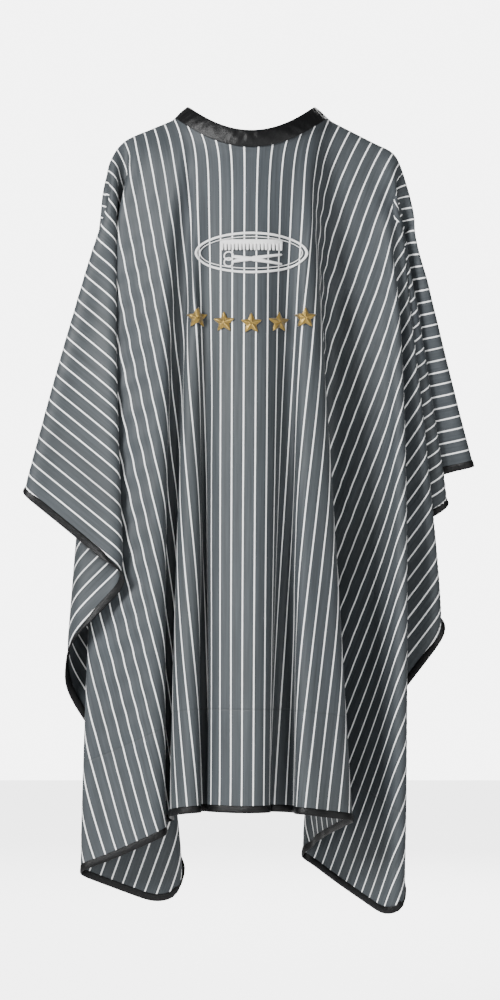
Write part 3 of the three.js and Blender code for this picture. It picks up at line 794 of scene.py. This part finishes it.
def cloth_at(x, z):
    """Points and normals of the front of the cloth under places x and z on the chest, found by moving the
    flat place until the hung place fits."""
    state = hung_cloth()
    left, right = state["grids"]["left", "front"], state["grids"]["right", "front"]
    grid = np.concatenate([left[:, :0:-1], right], axis=1)
    place = state["place"][grid]
    shape = np.shape(x)
    x, z = np.ravel(x), np.ravel(z)
    row = np.full(x.shape, 15.0)
    column = np.full(x.shape, float(left.shape[1] - 1))
    middle = left.shape[1] - 1
    reach = slice(middle - 18, middle + 19)
    row_height, column_width = 0.0145, 0.016
    for _ in range(40):
        here = smooth_read(place, row, column)
        row = np.clip(row - (z - here[:, 2]) / row_height * 0.8, 1, 40)
        column = np.clip(column + (x - here[:, 0]) / column_width * 0.7, reach.start, reach.stop)
    step = 0.25
    down = smooth_read(place, row + step, column) - smooth_read(place, row - step, column)
    across = smooth_read(place, row, column + step) - smooth_read(place, row, column - step)
    normal = unit(np.cross(down, across))
    normal *= -np.sign(normal[:, 1:2])
    return here.reshape(shape + (3,)), normal.reshape(shape + (3,))


STITCH_LIFT = 0.0012


def stitched(name, x, z, height, faces, finish, node):
    """Raises a worked patch from the cloth: x and z say where, height how far its thread stands up."""
    under, normal = cloth_at(x, z)
    top = under + normal * (STITCH_LIFT + height)[..., None]
    made = new_mesh(name, top.reshape(-1, 3), faces, np.stack([x, z], -1).reshape(-1, 2))
    finish_shape(made, wall=0.0012, offset=-1.0)
    outward_faces(made)
    dress(made, finish)
    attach(made, FIXED)
    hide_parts(node)
    return made


STAR_RADIUS = 0.0155
STAR_INNER = 0.46


def build_stars():
    """Gold five-pointed stars. Each is a pyramid over a star outline: its height falls evenly from the
    middle to the rim, so ridges run to the points and grooves to the notches."""
    finish = thread("gold thread", (0.46, 0.31, 0.065), (0.10, 0.055, 0.012), 0.30, 0.75)
    rings, spokes = 14, 80
    made = []
    for i in range(1, 6):
        centre = node_middle(f"star_patch_{i}")
        angle = np.linspace(0, 2 * HALF_TURN, spokes, endpoint=False)[None]
        lobe = np.abs((angle / (2 * HALF_TURN) * 5 + 0.5) % 1 - 0.5) * 2
        point, notch = STAR_RADIUS, STAR_RADIUS * STAR_INNER
        wedge = HALF_TURN / 5
        rim = point * notch * np.sin(wedge) / (
            notch * np.sin(wedge - lobe * wedge) + point * np.sin(lobe * wedge))
        share = np.linspace(0.02, 1, rings)[:, None]
        turn = angle + HALF_TURN / 2
        x = centre[0] + share * rim * np.cos(turn)
        z = centre[2] + share * rim * np.sin(turn)
        height = 0.0026 * (1 - share) * (1 - 0.62 * lobe) + 0.0007 * (1 - share**8) * (1 - 0.4 * lobe)
        faces = [tuple(f) for f in grid_faces(rings, spokes, wrap=True)] + [tuple(range(spokes))]
        made.append(stitched(f"star_{i}", x, z, height, faces, finish, f"star_patch_{i}"))
    return made


def satin_bar(start, end, start_width, end_width, rows=16):
    """A bar of satin stitch between two places: a low arch across, as long as it is told."""
    start, end = np.array(start), np.array(end)
    t = np.linspace(0, 1, rows)[:, None]
    s = np.linspace(-1, 1, 9)[None]
    way = unit(end - start)
    side = np.array([-way[1], way[0]])
    half = (start_width + (end_width - start_width) * t) / 2
    cap = np.minimum(1, 5 * np.minimum(t, 1 - t) + 0.45)
    line = start + (end - start) * t[..., None]
    spot = line + side * (half * s * cap)[..., None]
    height = 0.0010 * np.sqrt(np.maximum(0, 1 - s**2)) * cap
    return spot[..., 0], spot[..., 1], height


def satin_ring(centre, radius_x, radius_z, width, rows=120):
    """A closed loop of satin stitch along an oval."""
    turn = np.linspace(0, 2 * HALF_TURN, rows)[:, None]
    s = np.linspace(-1, 1, 9)[None]
    x = centre[0] + (radius_x + width / 2 * s) * np.cos(turn)
    z = centre[1] + (radius_z + width / 2 * s) * np.sin(turn)
    return x, z, 0.0011 * np.sqrt(np.maximum(0, 1 - s**2)) + 0 * turn


def bars_mesh(bars):
    """Joins grids of stitches into one set of places, heights and faces."""
    faces, count = [], 0
    for x, _, _ in bars:
        rows, columns = x.shape
        faces.append(grid_faces(rows, columns, start=count))
        count += rows * columns
    x, z, height = (np.concatenate([np.ravel(bar[k]) for bar in bars]) for k in range(3))
    return x, z, height, np.concatenate(faces)


def build_emblem():
    """A plain trade motif: an oval line with a comb over an open pair of scissors."""
    finish = thread("white thread", (0.93, 0.93, 0.92), (0.62, 0.62, 0.62), 0.5, 0.0)
    low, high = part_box("emblem_outline")
    middle = ((low.x + high.x) / 2, (low.z + high.z) / 2)
    half_x, half_z = (high.x - low.x) / 2, (high.z - low.z) / 2
    line = 0.0038
    oval = bars_mesh([satin_ring(middle, half_x - line / 2, half_z - line / 2, line, 200),
                      satin_ring(middle, half_x - 0.0075, half_z - 0.0075, 0.0016, 200)])
    low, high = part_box("emblem_comb")
    teeth = np.linspace(low.x + 0.002, high.x - 0.002, 17)
    comb = [satin_bar((low.x, high.z - 0.003), (high.x, high.z - 0.003), 0.006, 0.006, 60)]
    comb += [satin_bar((tooth, high.z - 0.005), (tooth, low.z), 0.0030, 0.0016) for tooth in teeth]
    low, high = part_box("emblem_scissors")
    pivot = np.array([(low.x + high.x) / 2 - 0.003, (low.z + high.z) / 2])
    scissors = []
    for lean in (1, -1):
        turn = 0.15 * lean
        way = np.array([np.cos(turn), np.sin(turn)])
        bow = pivot - way * 0.031
        scissors.append(satin_bar(pivot - way * 0.024, pivot + way * 0.004, 0.0030, 0.0046, 20))
        scissors.append(satin_bar(pivot + way * 0.001, pivot + way * 0.047, 0.0050, 0.0008, 30))
        scissors.append(satin_ring(bow, 0.0066, 0.0062, 0.0024, 40))
    made = []
    for name, parts in (("outline", oval), ("comb", bars_mesh(comb)), ("scissors", bars_mesh(scissors))):
        x, z, height, faces = parts
        made.append(stitched(f"emblem_{name}_stitches", x, z, height, faces, finish,
                             f"emblem_{name}"))
    return made


# ------------------------------------------------------------------ materials
class Graph:
    """A node tree with a short way to add and join nodes."""

    def __init__(self, tree):
        """Keeps the tree that every later call adds to."""
        self.tree = tree

    def node(self, kind, inputs=None, **settings):
        """Adds a node, sets its properties, and sets or links each named input."""
        made = self.tree.nodes.new(kind)
        for key, value in settings.items():
            setattr(made, key, value)
        for key, value in (inputs or {}).items():
            if isinstance(value, bpy.types.NodeSocket):
                self.tree.links.new(value, made.inputs[key])
            else:
                made.inputs[key].default_value = value
        return made

    def remap(self, value, low, high, first, last):
        """value moved from the range low to high into the range first to last, and held inside it."""
        return self.node("ShaderNodeMapRange", {0: value, 1: low, 2: high, 3: first, 4: last}).outputs[0]

    def math(self, operation, a, b=0.0, clamp=False):
        """One arithmetic step between two values or sockets."""
        made = self.node("ShaderNodeMath", {0: a, 1: b}, operation=operation)
        made.use_clamp = clamp
        return made.outputs[0]

    def mix(self, share, a, b):
        """Colour a turning into colour b by share."""
        made = self.node("ShaderNodeMix", data_type="RGBA")
        for slot, value in ((0, share), (6, a), (7, b)):
            if isinstance(value, bpy.types.NodeSocket):
                self.tree.links.new(value, made.inputs[slot])
            else:
                made.inputs[slot].default_value = value
        return made.outputs[2]


def group(name, inputs, outputs):
    """A new shader node group with named inputs (name, socket, default) and outputs (name, socket)."""
    tree = bpy.data.node_groups.new(name, "ShaderNodeTree")
    for label, kind, default in inputs:
        socket = tree.interface.new_socket(label, in_out="INPUT", socket_type=kind)
        if default is not None:
            socket.default_value = default
    for label, kind in outputs:
        tree.interface.new_socket(label, in_out="OUTPUT", socket_type=kind)
    graph = Graph(tree)
    return tree, graph, graph.node("NodeGroupInput"), graph.node("NodeGroupOutput")


def weave_group():
    """Plain weave: two crossed sets of threads, as a height and a small change of tone, with slubs."""
    if "Weave" in bpy.data.node_groups:
        return bpy.data.node_groups["Weave"]
    tree, g, given, out = group("Weave", [("Vector", "NodeSocketVector", None),
                                          ("Threads", "NodeSocketFloat", 900.0)],
                                [("Height", "NodeSocketFloat"), ("Tone", "NodeSocketFloat")])
    parts = g.node("ShaderNodeSeparateXYZ", {0: given.outputs["Vector"]})
    waves = []
    for axis in (0, 1):
        turn = g.math("MULTIPLY", parts.outputs[axis], given.outputs["Threads"])
        waves.append(g.math("SINE", g.math("MULTIPLY", turn, 2 * np.pi)))
    height = g.math("MULTIPLY", waves[0], waves[1])
    slub = g.node("ShaderNodeMapping", {0: given.outputs["Vector"], 3: (260.0, 9.0, 40.0)})
    noise = g.node("ShaderNodeTexNoise", {"Vector": slub.outputs[0], "Scale": 1.0, "Detail": 3.0})
    tree.links.new(height, out.inputs["Height"])
    tree.links.new(noise.outputs["Fac"], out.inputs["Tone"])
    return tree


def crease_group():
    """Long shallow folds that run down the cloth: stretched noise as a height, and a mask of its valleys that
    the cloth uses as painted shade.
    """
    if "Long folds" in bpy.data.node_groups:
        return bpy.data.node_groups["Long folds"]
    tree, g, given, out = group("Long folds", [("Vector", "NodeSocketVector", None)],
                                [("Height", "NodeSocketFloat"), ("Painted valley shade", "NodeSocketFloat")])
    heights = []
    for scale, detail in (((13.0, 0.9, 1.0), 1.0), ((34.0, 2.6, 1.0), 2.0)):
        stretch = g.node("ShaderNodeMapping", {0: given.outputs["Vector"], 3: scale})
        noise = g.node("ShaderNodeTexNoise", {"Vector": stretch.outputs[0], "Scale": 1.0, "Detail": detail,
                                              "Distortion": 0.6})
        heights.append(noise.outputs["Fac"])
    height = g.math("ADD", heights[0], g.math("MULTIPLY", heights[1], 0.4))
    # Painted shade mask: 1 in the valleys of the folds, 0 on their crests.
    painted_valley_shade = g.node("ShaderNodeMapRange", {0: height, 1: 0.48, 2: 0.64, 3: 1.0, 4: 0.0})
    tree.links.new(height, out.inputs["Height"])
    tree.links.new(painted_valley_shade.outputs[0], out.inputs["Painted valley shade"])
    return tree


def sag_group():
    """Slow unevenness of thin cloth: soft creases that wander, as a height."""
    if "Rumple" in bpy.data.node_groups:
        return bpy.data.node_groups["Rumple"]
    tree, g, given, out = group("Rumple", [("Vector", "NodeSocketVector", None),
                                           ("Scale", "NodeSocketFloat", 9.0)],
                                [("Height", "NodeSocketFloat"), ("Tint", "NodeSocketFloat")])
    stretch = g.node("ShaderNodeMapping", {0: given.outputs["Vector"], 3: (2.2, 0.8, 1.0)})
    folds = g.node("ShaderNodeTexNoise", {"Vector": stretch.outputs[0], "Scale": given.outputs["Scale"],
                                          "Detail": 4.0, "Roughness": 0.45, "Distortion": 0.5})
    tint = g.node("ShaderNodeTexNoise", {"Vector": given.outputs["Vector"], "Scale": 3.0, "Detail": 2.0})
    tree.links.new(folds.outputs["Fac"], out.inputs["Height"])
    tree.links.new(tint.outputs["Fac"], out.inputs["Tint"])
    return tree


def grouped(g, tree, inputs):
    """An instance of a node group in a material, with its values."""
    made = g.node("ShaderNodeGroup", node_tree=tree)
    for key, value in inputs.items():
        if isinstance(value, bpy.types.NodeSocket):
            g.tree.links.new(value, made.inputs[key])
        else:
            made.inputs[key].default_value = value
    return made


def material(name):
    """A material with an empty tree holding a Principled shader and its output."""
    made = bpy.data.materials.new(name)
    made.use_nodes = True
    g = Graph(made.node_tree)
    made.node_tree.nodes.clear()
    shader = g.node("ShaderNodeBsdfPrincipled")
    out = g.node("ShaderNodeOutputMaterial")
    made.node_tree.links.new(shader.outputs[0], out.inputs[0])
    return made, g, shader


def dress(obj, finish):
    """Gives a piece its material."""
    obj.data.materials.clear()
    obj.data.materials.append(finish)


def cloth_material(name, light):
    """Slate woven cloth with thin white stripes along its length. light scales the ground, the stripes and
    the sheen: 1 on the face, and less on the reverse, which comes out darker."""
    if name in bpy.data.materials:
        return bpy.data.materials[name]
    settings = bpy.context.scene.cape_cloth
    made, g, shader = material(name)
    uv = g.node("ShaderNodeUVMap", uv_map="flat").outputs[0]
    x = g.node("ShaderNodeSeparateXYZ", {0: uv})
    across = g.math("FRACT", g.math("DIVIDE", x.outputs[0], settings.stripe_pitch))
    from_line = g.math("ABSOLUTE", g.math("SUBTRACT", across, 0.5))
    half = settings.stripe_width / settings.stripe_pitch / 2
    soft = 0.012
    stripe = g.remap(from_line, half - soft, half + soft, 1.0, 0.0)
    weave = grouped(g, weave_group(), {"Vector": uv, "Threads": 1300.0})
    rumple = grouped(g, sag_group(), {"Vector": uv, "Scale": 9.0})
    folds = grouped(g, crease_group(), {"Vector": uv})
    ground = tuple(c * light for c in settings.ground[:]) + (1.0,)
    cool = (ground[0] * 0.86, ground[1] * 0.90, ground[2] * 1.04, 1.0)
    tone = g.mix(g.math("MULTIPLY", rumple.outputs["Tint"], 1.0, clamp=True), ground, cool)
    slub = g.remap(weave.outputs["Tone"], 0.3, 0.7, 0.78, 1.16)
    toned = g.node("ShaderNodeMix", data_type="RGBA", blend_type="MULTIPLY")
    g.tree.links.new(tone, toned.inputs[6])
    grey = g.node("ShaderNodeCombineColor", {0: slub, 1: slub, 2: slub}).outputs[0]
    g.tree.links.new(grey, toned.inputs[7])
    toned.inputs[0].default_value = 1.0
    line = tuple(c * light for c in settings.stripe[:]) + (1.0,)
    from_crease = g.math("ABSOLUTE", g.math("ADD", x.outputs[1], FRONT_LENGTH - settings.crease_height))
    crease = g.remap(from_crease, 0.0, CREASE_WIDTH, 1.0, 0.0)
    coloured = g.mix(stripe, toned.outputs[2], line)
    # Painted shade: the packing crease and the valleys of the long folds mix the colour towards this darker
    # ground.
    dark = tuple(0.72 * c for c in ground[:3]) + (1.0,)
    shade = g.math("ADD", g.math("MULTIPLY", crease, 0.35), g.math("MULTIPLY", folds.outputs["Painted valley shade"], 0.30),
                   clamp=True)
    g.tree.links.new(g.mix(shade, coloured, dark), shader.inputs["Base Color"])
    height = g.math("ADD", g.math("MULTIPLY", weave.outputs["Height"], 0.06),
                    g.math("MULTIPLY", rumple.outputs["Height"], 3.0))
    height = g.math("ADD", height, g.math("MULTIPLY", crease, -0.8))
    height = g.math("ADD", height, g.math("MULTIPLY", folds.outputs["Height"], 14.0))
    height = g.math("ADD", height, g.math("MULTIPLY", stripe, 0.12))
    bump = g.node("ShaderNodeBump", {"Height": height, "Strength": 0.5, "Distance": 0.001})
    g.tree.links.new(bump.outputs[0], shader.inputs["Normal"])
    rough = g.remap(rumple.outputs["Tint"], 0.3, 0.7, 0.50, 0.62)
    g.tree.links.new(rough, shader.inputs["Roughness"])
    shader.inputs["Sheen Weight"].default_value = 0.08 * light
    shader.inputs["Sheen Roughness"].default_value = 0.4
    shader.inputs["Specular IOR Level"].default_value = 0.3
    return made


def satin(name, gloss):
    """Black satin: long floats that glance along the strip, with fine puckers and stitch dents."""
    if name in bpy.data.materials:
        return bpy.data.materials[name]
    made, g, shader = material(name)
    uv = g.node("ShaderNodeUVMap", uv_map="flat").outputs[0]
    weave = grouped(g, weave_group(), {"Vector": uv, "Threads": 1700.0})
    rumple = grouped(g, sag_group(), {"Vector": uv, "Scale": 60.0})
    dark, bright = (0.0008, 0.0009, 0.0010, 1), (0.0035, 0.0037, 0.0042, 1)
    g.tree.links.new(g.mix(weave.outputs["Tone"], dark, bright), shader.inputs["Base Color"])
    rough = g.remap(rumple.outputs["Tint"], 0.3, 0.7, 0.30, 0.42)
    g.tree.links.new(rough, shader.inputs["Roughness"])
    height = g.math("ADD", g.math("MULTIPLY", weave.outputs["Height"], 0.05), rumple.outputs["Height"])
    bump = g.node("ShaderNodeBump", {"Height": height, "Strength": 0.45 * gloss, "Distance": 0.0012})
    g.tree.links.new(bump.outputs[0], shader.inputs["Normal"])
    shader.inputs["Specular IOR Level"].default_value = 0.22
    return made


def thread(name, bright, dark, roughness, shine):
    """Embroidery thread: fine parallel ridges laid side by side, with painted shade between them."""
    if name in bpy.data.materials:
        return bpy.data.materials[name]
    made, g, shader = material(name)
    uv = g.node("ShaderNodeUVMap", uv_map="flat").outputs[0]
    slant = g.node("ShaderNodeMapping", {0: uv, 2: (0.0, 0.0, 0.6)})
    ridges = g.node("ShaderNodeTexWave", {"Vector": slant.outputs[0], "Scale": 330.0, "Distortion": 1.2,
                                          "Detail": 2.0, "Detail Scale": 1.5})
    rumple = grouped(g, sag_group(), {"Vector": uv, "Scale": 200.0})
    # Painted shade, times a random tint: the colour runs from dark in the grooves between the ridges to
    # bright on their crests.
    shade = g.math("MULTIPLY", ridges.outputs["Fac"], rumple.outputs["Tint"])
    shade = g.math("ADD", shade, 0.25, clamp=True)
    g.tree.links.new(g.mix(shade, tuple(dark) + (1,), tuple(bright) + (1,)), shader.inputs["Base Color"])
    bump = g.node("ShaderNodeBump", {"Height": ridges.outputs["Fac"], "Strength": 0.5, "Distance": 0.0004})
    g.tree.links.new(bump.outputs[0], shader.inputs["Normal"])
    shader.inputs["Roughness"].default_value = roughness
    shader.inputs["Metallic"].default_value = shine
    shader.inputs["Sheen Weight"].default_value = 0.3
    return made


def metal(name):
    """Nickel plate with fine turning marks and a little dulling."""
    if name in bpy.data.materials:
        return bpy.data.materials[name]
    made, g, shader = material(name)
    where = g.node("ShaderNodeTexCoord").outputs["Object"]
    wear = g.node("ShaderNodeTexNoise", {"Vector": where, "Scale": 900.0, "Detail": 4.0})
    rough = g.remap(wear.outputs["Fac"], 0.3, 0.7, 0.18, 0.34)
    g.tree.links.new(rough, shader.inputs["Roughness"])
    tone = g.mix(wear.outputs["Fac"], (0.55, 0.55, 0.54, 1), (0.74, 0.74, 0.73, 1))
    g.tree.links.new(tone, shader.inputs["Base Color"])
    bump = g.node("ShaderNodeBump", {"Height": wear.outputs["Fac"], "Strength": 0.15, "Distance": 0.0002})
    g.tree.links.new(bump.outputs[0], shader.inputs["Normal"])
    shader.inputs["Metallic"].default_value = 1.0
    return made


# ------------------------------------------------------------------ stage
def area_light(name, spot, aim, size, power):
    """A square soft light at a place, turned to an aim point."""
    data = bpy.data.lights.new(name, "AREA")
    data.shape, data.size, data.energy = "SQUARE", size, power
    light = bpy.data.objects.new(name, data)
    light.location = spot
    light.rotation_euler = (Vector(aim) - Vector(spot)).to_track_quat("-Z", "Y").to_euler()
    bpy.context.scene.collection.objects.link(light)


def build_stage():
    """A pale floor under the hem, soft light from the front and above, and the camera."""
    settings = bpy.context.scene.cape_stage
    floor_z = cad_box[0].z - settings.floor_drop
    reach = 6.0
    corners = np.array([(-reach, -reach, floor_z), (reach, -reach, floor_z), (reach, reach, floor_z),
                        (-reach, reach, floor_z)])
    floor = new_mesh("floor", corners, [(0, 1, 2, 3)], smooth=False)
    pale, g, shader = material("pale floor")
    where = g.node("ShaderNodeTexCoord").outputs["Object"]
    grain = g.node("ShaderNodeTexNoise", {"Vector": where, "Scale": 40.0})
    g.tree.links.new(g.mix(grain.outputs["Fac"], (0.88, 0.88, 0.88, 1), (0.92, 0.92, 0.92, 1)),
                     shader.inputs["Base Color"])
    shader.inputs["Roughness"].default_value = 0.8
    shader.inputs["Emission Color"].default_value = (1.0, 1.0, 1.0, 1.0)
    seen = g.node("ShaderNodeLightPath").outputs["Is Camera Ray"]
    g.tree.links.new(g.math("MULTIPLY", seen, settings.backdrop * 0.6), shader.inputs["Emission Strength"])
    floor.data.materials.append(pale)

    world = bpy.data.worlds.new("studio")
    bpy.context.scene.world = world
    world.use_nodes = True
    g = Graph(world.node_tree)
    seen = g.node("ShaderNodeLightPath").outputs["Is Camera Ray"]
    strength = g.remap(seen, 0.0, 1.0, settings.world_light, settings.backdrop)
    sky = world.node_tree.nodes["Background"]
    sky.inputs[0].default_value = (1.0, 1.0, 1.0, 1.0)
    world.node_tree.links.new(strength, sky.inputs[1])

    middle = (0.0, 0.0, -0.55)
    area_light("key", (-2.4, -2.6, 1.3), middle, 1.2, settings.key_light)
    area_light("fill", (1.7, -3.4, 0.2), middle, 2.0, settings.key_light * 0.22)
    area_light("back", (0.6, 2.8, 0.6), middle, 1.8, settings.key_light * 0.35)

    camera_data = bpy.data.cameras.new("camera")
    camera_data.sensor_fit = "VERTICAL"
    camera_data.sensor_height = 24.0
    distance = settings.camera_distance
    camera_data.lens = camera_data.sensor_height / (settings.view_height / distance)
    camera = bpy.data.objects.new("camera", camera_data)
    camera.location = (settings.camera_x, -distance, settings.camera_z)
    camera.rotation_euler = (HALF_TURN / 2, 0, 0)
    bpy.context.scene.collection.objects.link(camera)
    bpy.context.scene.camera = camera


# ------------------------------------------------------------------ add-on
class CapeClothSettings(bpy.types.PropertyGroup):
    """Sizes and colours of the cloth."""
    stripe_pitch: FloatProperty(name="Stripe pitch", description="Distance between two stripes",
                                default=0.0177, unit="LENGTH")
    stripe_width: FloatProperty(name="Stripe width", description="Width of one stripe",
                                default=0.0021, unit="LENGTH")
    crease_height: FloatProperty(name="Crease height", description="Packing crease, above the front hem",
                                 default=0.150, unit="LENGTH")
    ground: FloatVectorProperty(name="Ground", description="Colour of the cloth between the stripes",
                                default=(0.040, 0.046, 0.048), subtype="COLOR")
    stripe: FloatVectorProperty(name="Stripe", description="Colour of the stripes",
                                default=(0.93, 0.94, 0.94), subtype="COLOR")
    settling: IntProperty(name="Settling rounds", description="Rounds of the cloth's settling",
                          default=300, min=0)


class CapeStageSettings(bpy.types.PropertyGroup):
    """The camera's place, the light and the floor."""
    camera_distance: FloatProperty(name="Camera distance", description="From the shoulder line",
                                   default=6.0, unit="LENGTH")
    camera_x: FloatProperty(name="Camera x", description="Sideways place of the camera",
                            default=-0.002, unit="LENGTH")
    camera_z: FloatProperty(name="Camera height", description="Height against the neck opening",
                            default=-0.558, unit="LENGTH")
    view_height: FloatProperty(name="View height", description="Height of the view at the shoulder line",
                               default=1.5, unit="LENGTH")
    world_light: FloatProperty(name="World light", description="Strength of the even light", default=0.30)
    backdrop: FloatProperty(name="Backdrop", description="Brightness of the empty background", default=6.0)
    key_light: FloatProperty(name="Key light", description="Power of the main light", default=300.0)
    floor_drop: FloatProperty(name="Floor drop", description="From the lowest hem to the floor",
                              default=0.25, unit="LENGTH")


class CAPE_OT_cloth(bpy.types.Operator):
    """Build the striped cloth"""
    bl_idname = "cape.cloth"
    bl_label = "Cloth"

    def execute(self, context):
        build_cloth()
        return {"FINISHED"}


class CAPE_OT_bindings(bpy.types.Operator):
    bl_idname = "cape.bindings"
    bl_label = "Bindings"

    def execute(self, context):
        pieces = build_bindings()
        return {"FINISHED"}


class CAPE_OT_neckband(bpy.types.Operator):
    """Build the satin neckband"""
    bl_idname = "cape.neckband"
    bl_label = "Neckband"

    def execute(self, context):
        build_neckband()
        return {"FINISHED"}


class CAPE_OT_closure(bpy.types.Operator):
    """Build the underlap and the closing tab"""
    bl_idname = "cape.closure"
    bl_label = "Closure"

    def execute(self, context):
        build_closure()
        return {"FINISHED"}


class CAPE_OT_snaps(bpy.types.Operator):
    """Build the press snaps"""
    bl_idname = "cape.snaps"
    bl_label = "Snaps"

    def execute(self, context):
        build_snaps()
        return {"FINISHED"}


class CAPE_OT_stars(bpy.types.Operator):
    """Build the gold embroidered stars"""
    bl_idname = "cape.stars"
    bl_label = "Stars"

    def execute(self, context):
        build_stars()
        return {"FINISHED"}


class CAPE_OT_emblem(bpy.types.Operator):
    """Build the white embroidered motif"""
    bl_idname = "cape.emblem"
    bl_label = "Emblem"

    def execute(self, context):
        build_emblem()
        return {"FINISHED"}


class CAPE_OT_stage(bpy.types.Operator):
    """Build the floor, the light and the camera"""
    bl_idname = "cape.stage"
    bl_label = "Stage"

    def execute(self, context):
        build_stage()
        return {"FINISHED"}


OPERATORS = (CAPE_OT_cloth, CAPE_OT_bindings, CAPE_OT_neckband, CAPE_OT_closure, CAPE_OT_snaps,
             CAPE_OT_stars, CAPE_OT_emblem, CAPE_OT_stage)


class CAPE_PT_panel(bpy.types.Panel):
    """Lists the cape's sizes and the buttons that build its pieces"""
    bl_label = "Barber cape"
    bl_space_type = "VIEW_3D"
    bl_region_type = "UI"
    bl_category = "Barber cape"

    def draw(self, context):
        for settings in (context.scene.cape_cloth, context.scene.cape_stage):
            for name in settings.bl_rna.properties.keys():
                if name not in ("rna_type", "name"):
                    self.layout.prop(settings, name)
        for operator in OPERATORS:
            self.layout.operator(operator.bl_idname)


CLASSES = (CapeClothSettings, CapeStageSettings, *OPERATORS, CAPE_PT_panel)


def register():
    """Adds the classes and the two groups of settings to Blender."""
    for cls in CLASSES:
        bpy.utils.register_class(cls)
    bpy.types.Scene.cape_cloth = PointerProperty(type=CapeClothSettings)
    bpy.types.Scene.cape_stage = PointerProperty(type=CapeStageSettings)


def unregister():
    """Takes the settings and the classes out again."""
    del bpy.types.Scene.cape_stage
    del bpy.types.Scene.cape_cloth
    for cls in reversed(CLASSES):
        bpy.utils.unregister_class(cls)


def main():
    """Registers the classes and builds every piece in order."""
    register()
    bpy.ops.cape.stage()
    bpy.ops.cape.cloth()
    bpy.ops.cape.bindings()
    bpy.ops.cape.neckband()
    bpy.ops.cape.closure()
    bpy.ops.cape.snaps()
    bpy.ops.cape.stars()
    bpy.ops.cape.emblem()


if __name__ == "__main__":
    main()
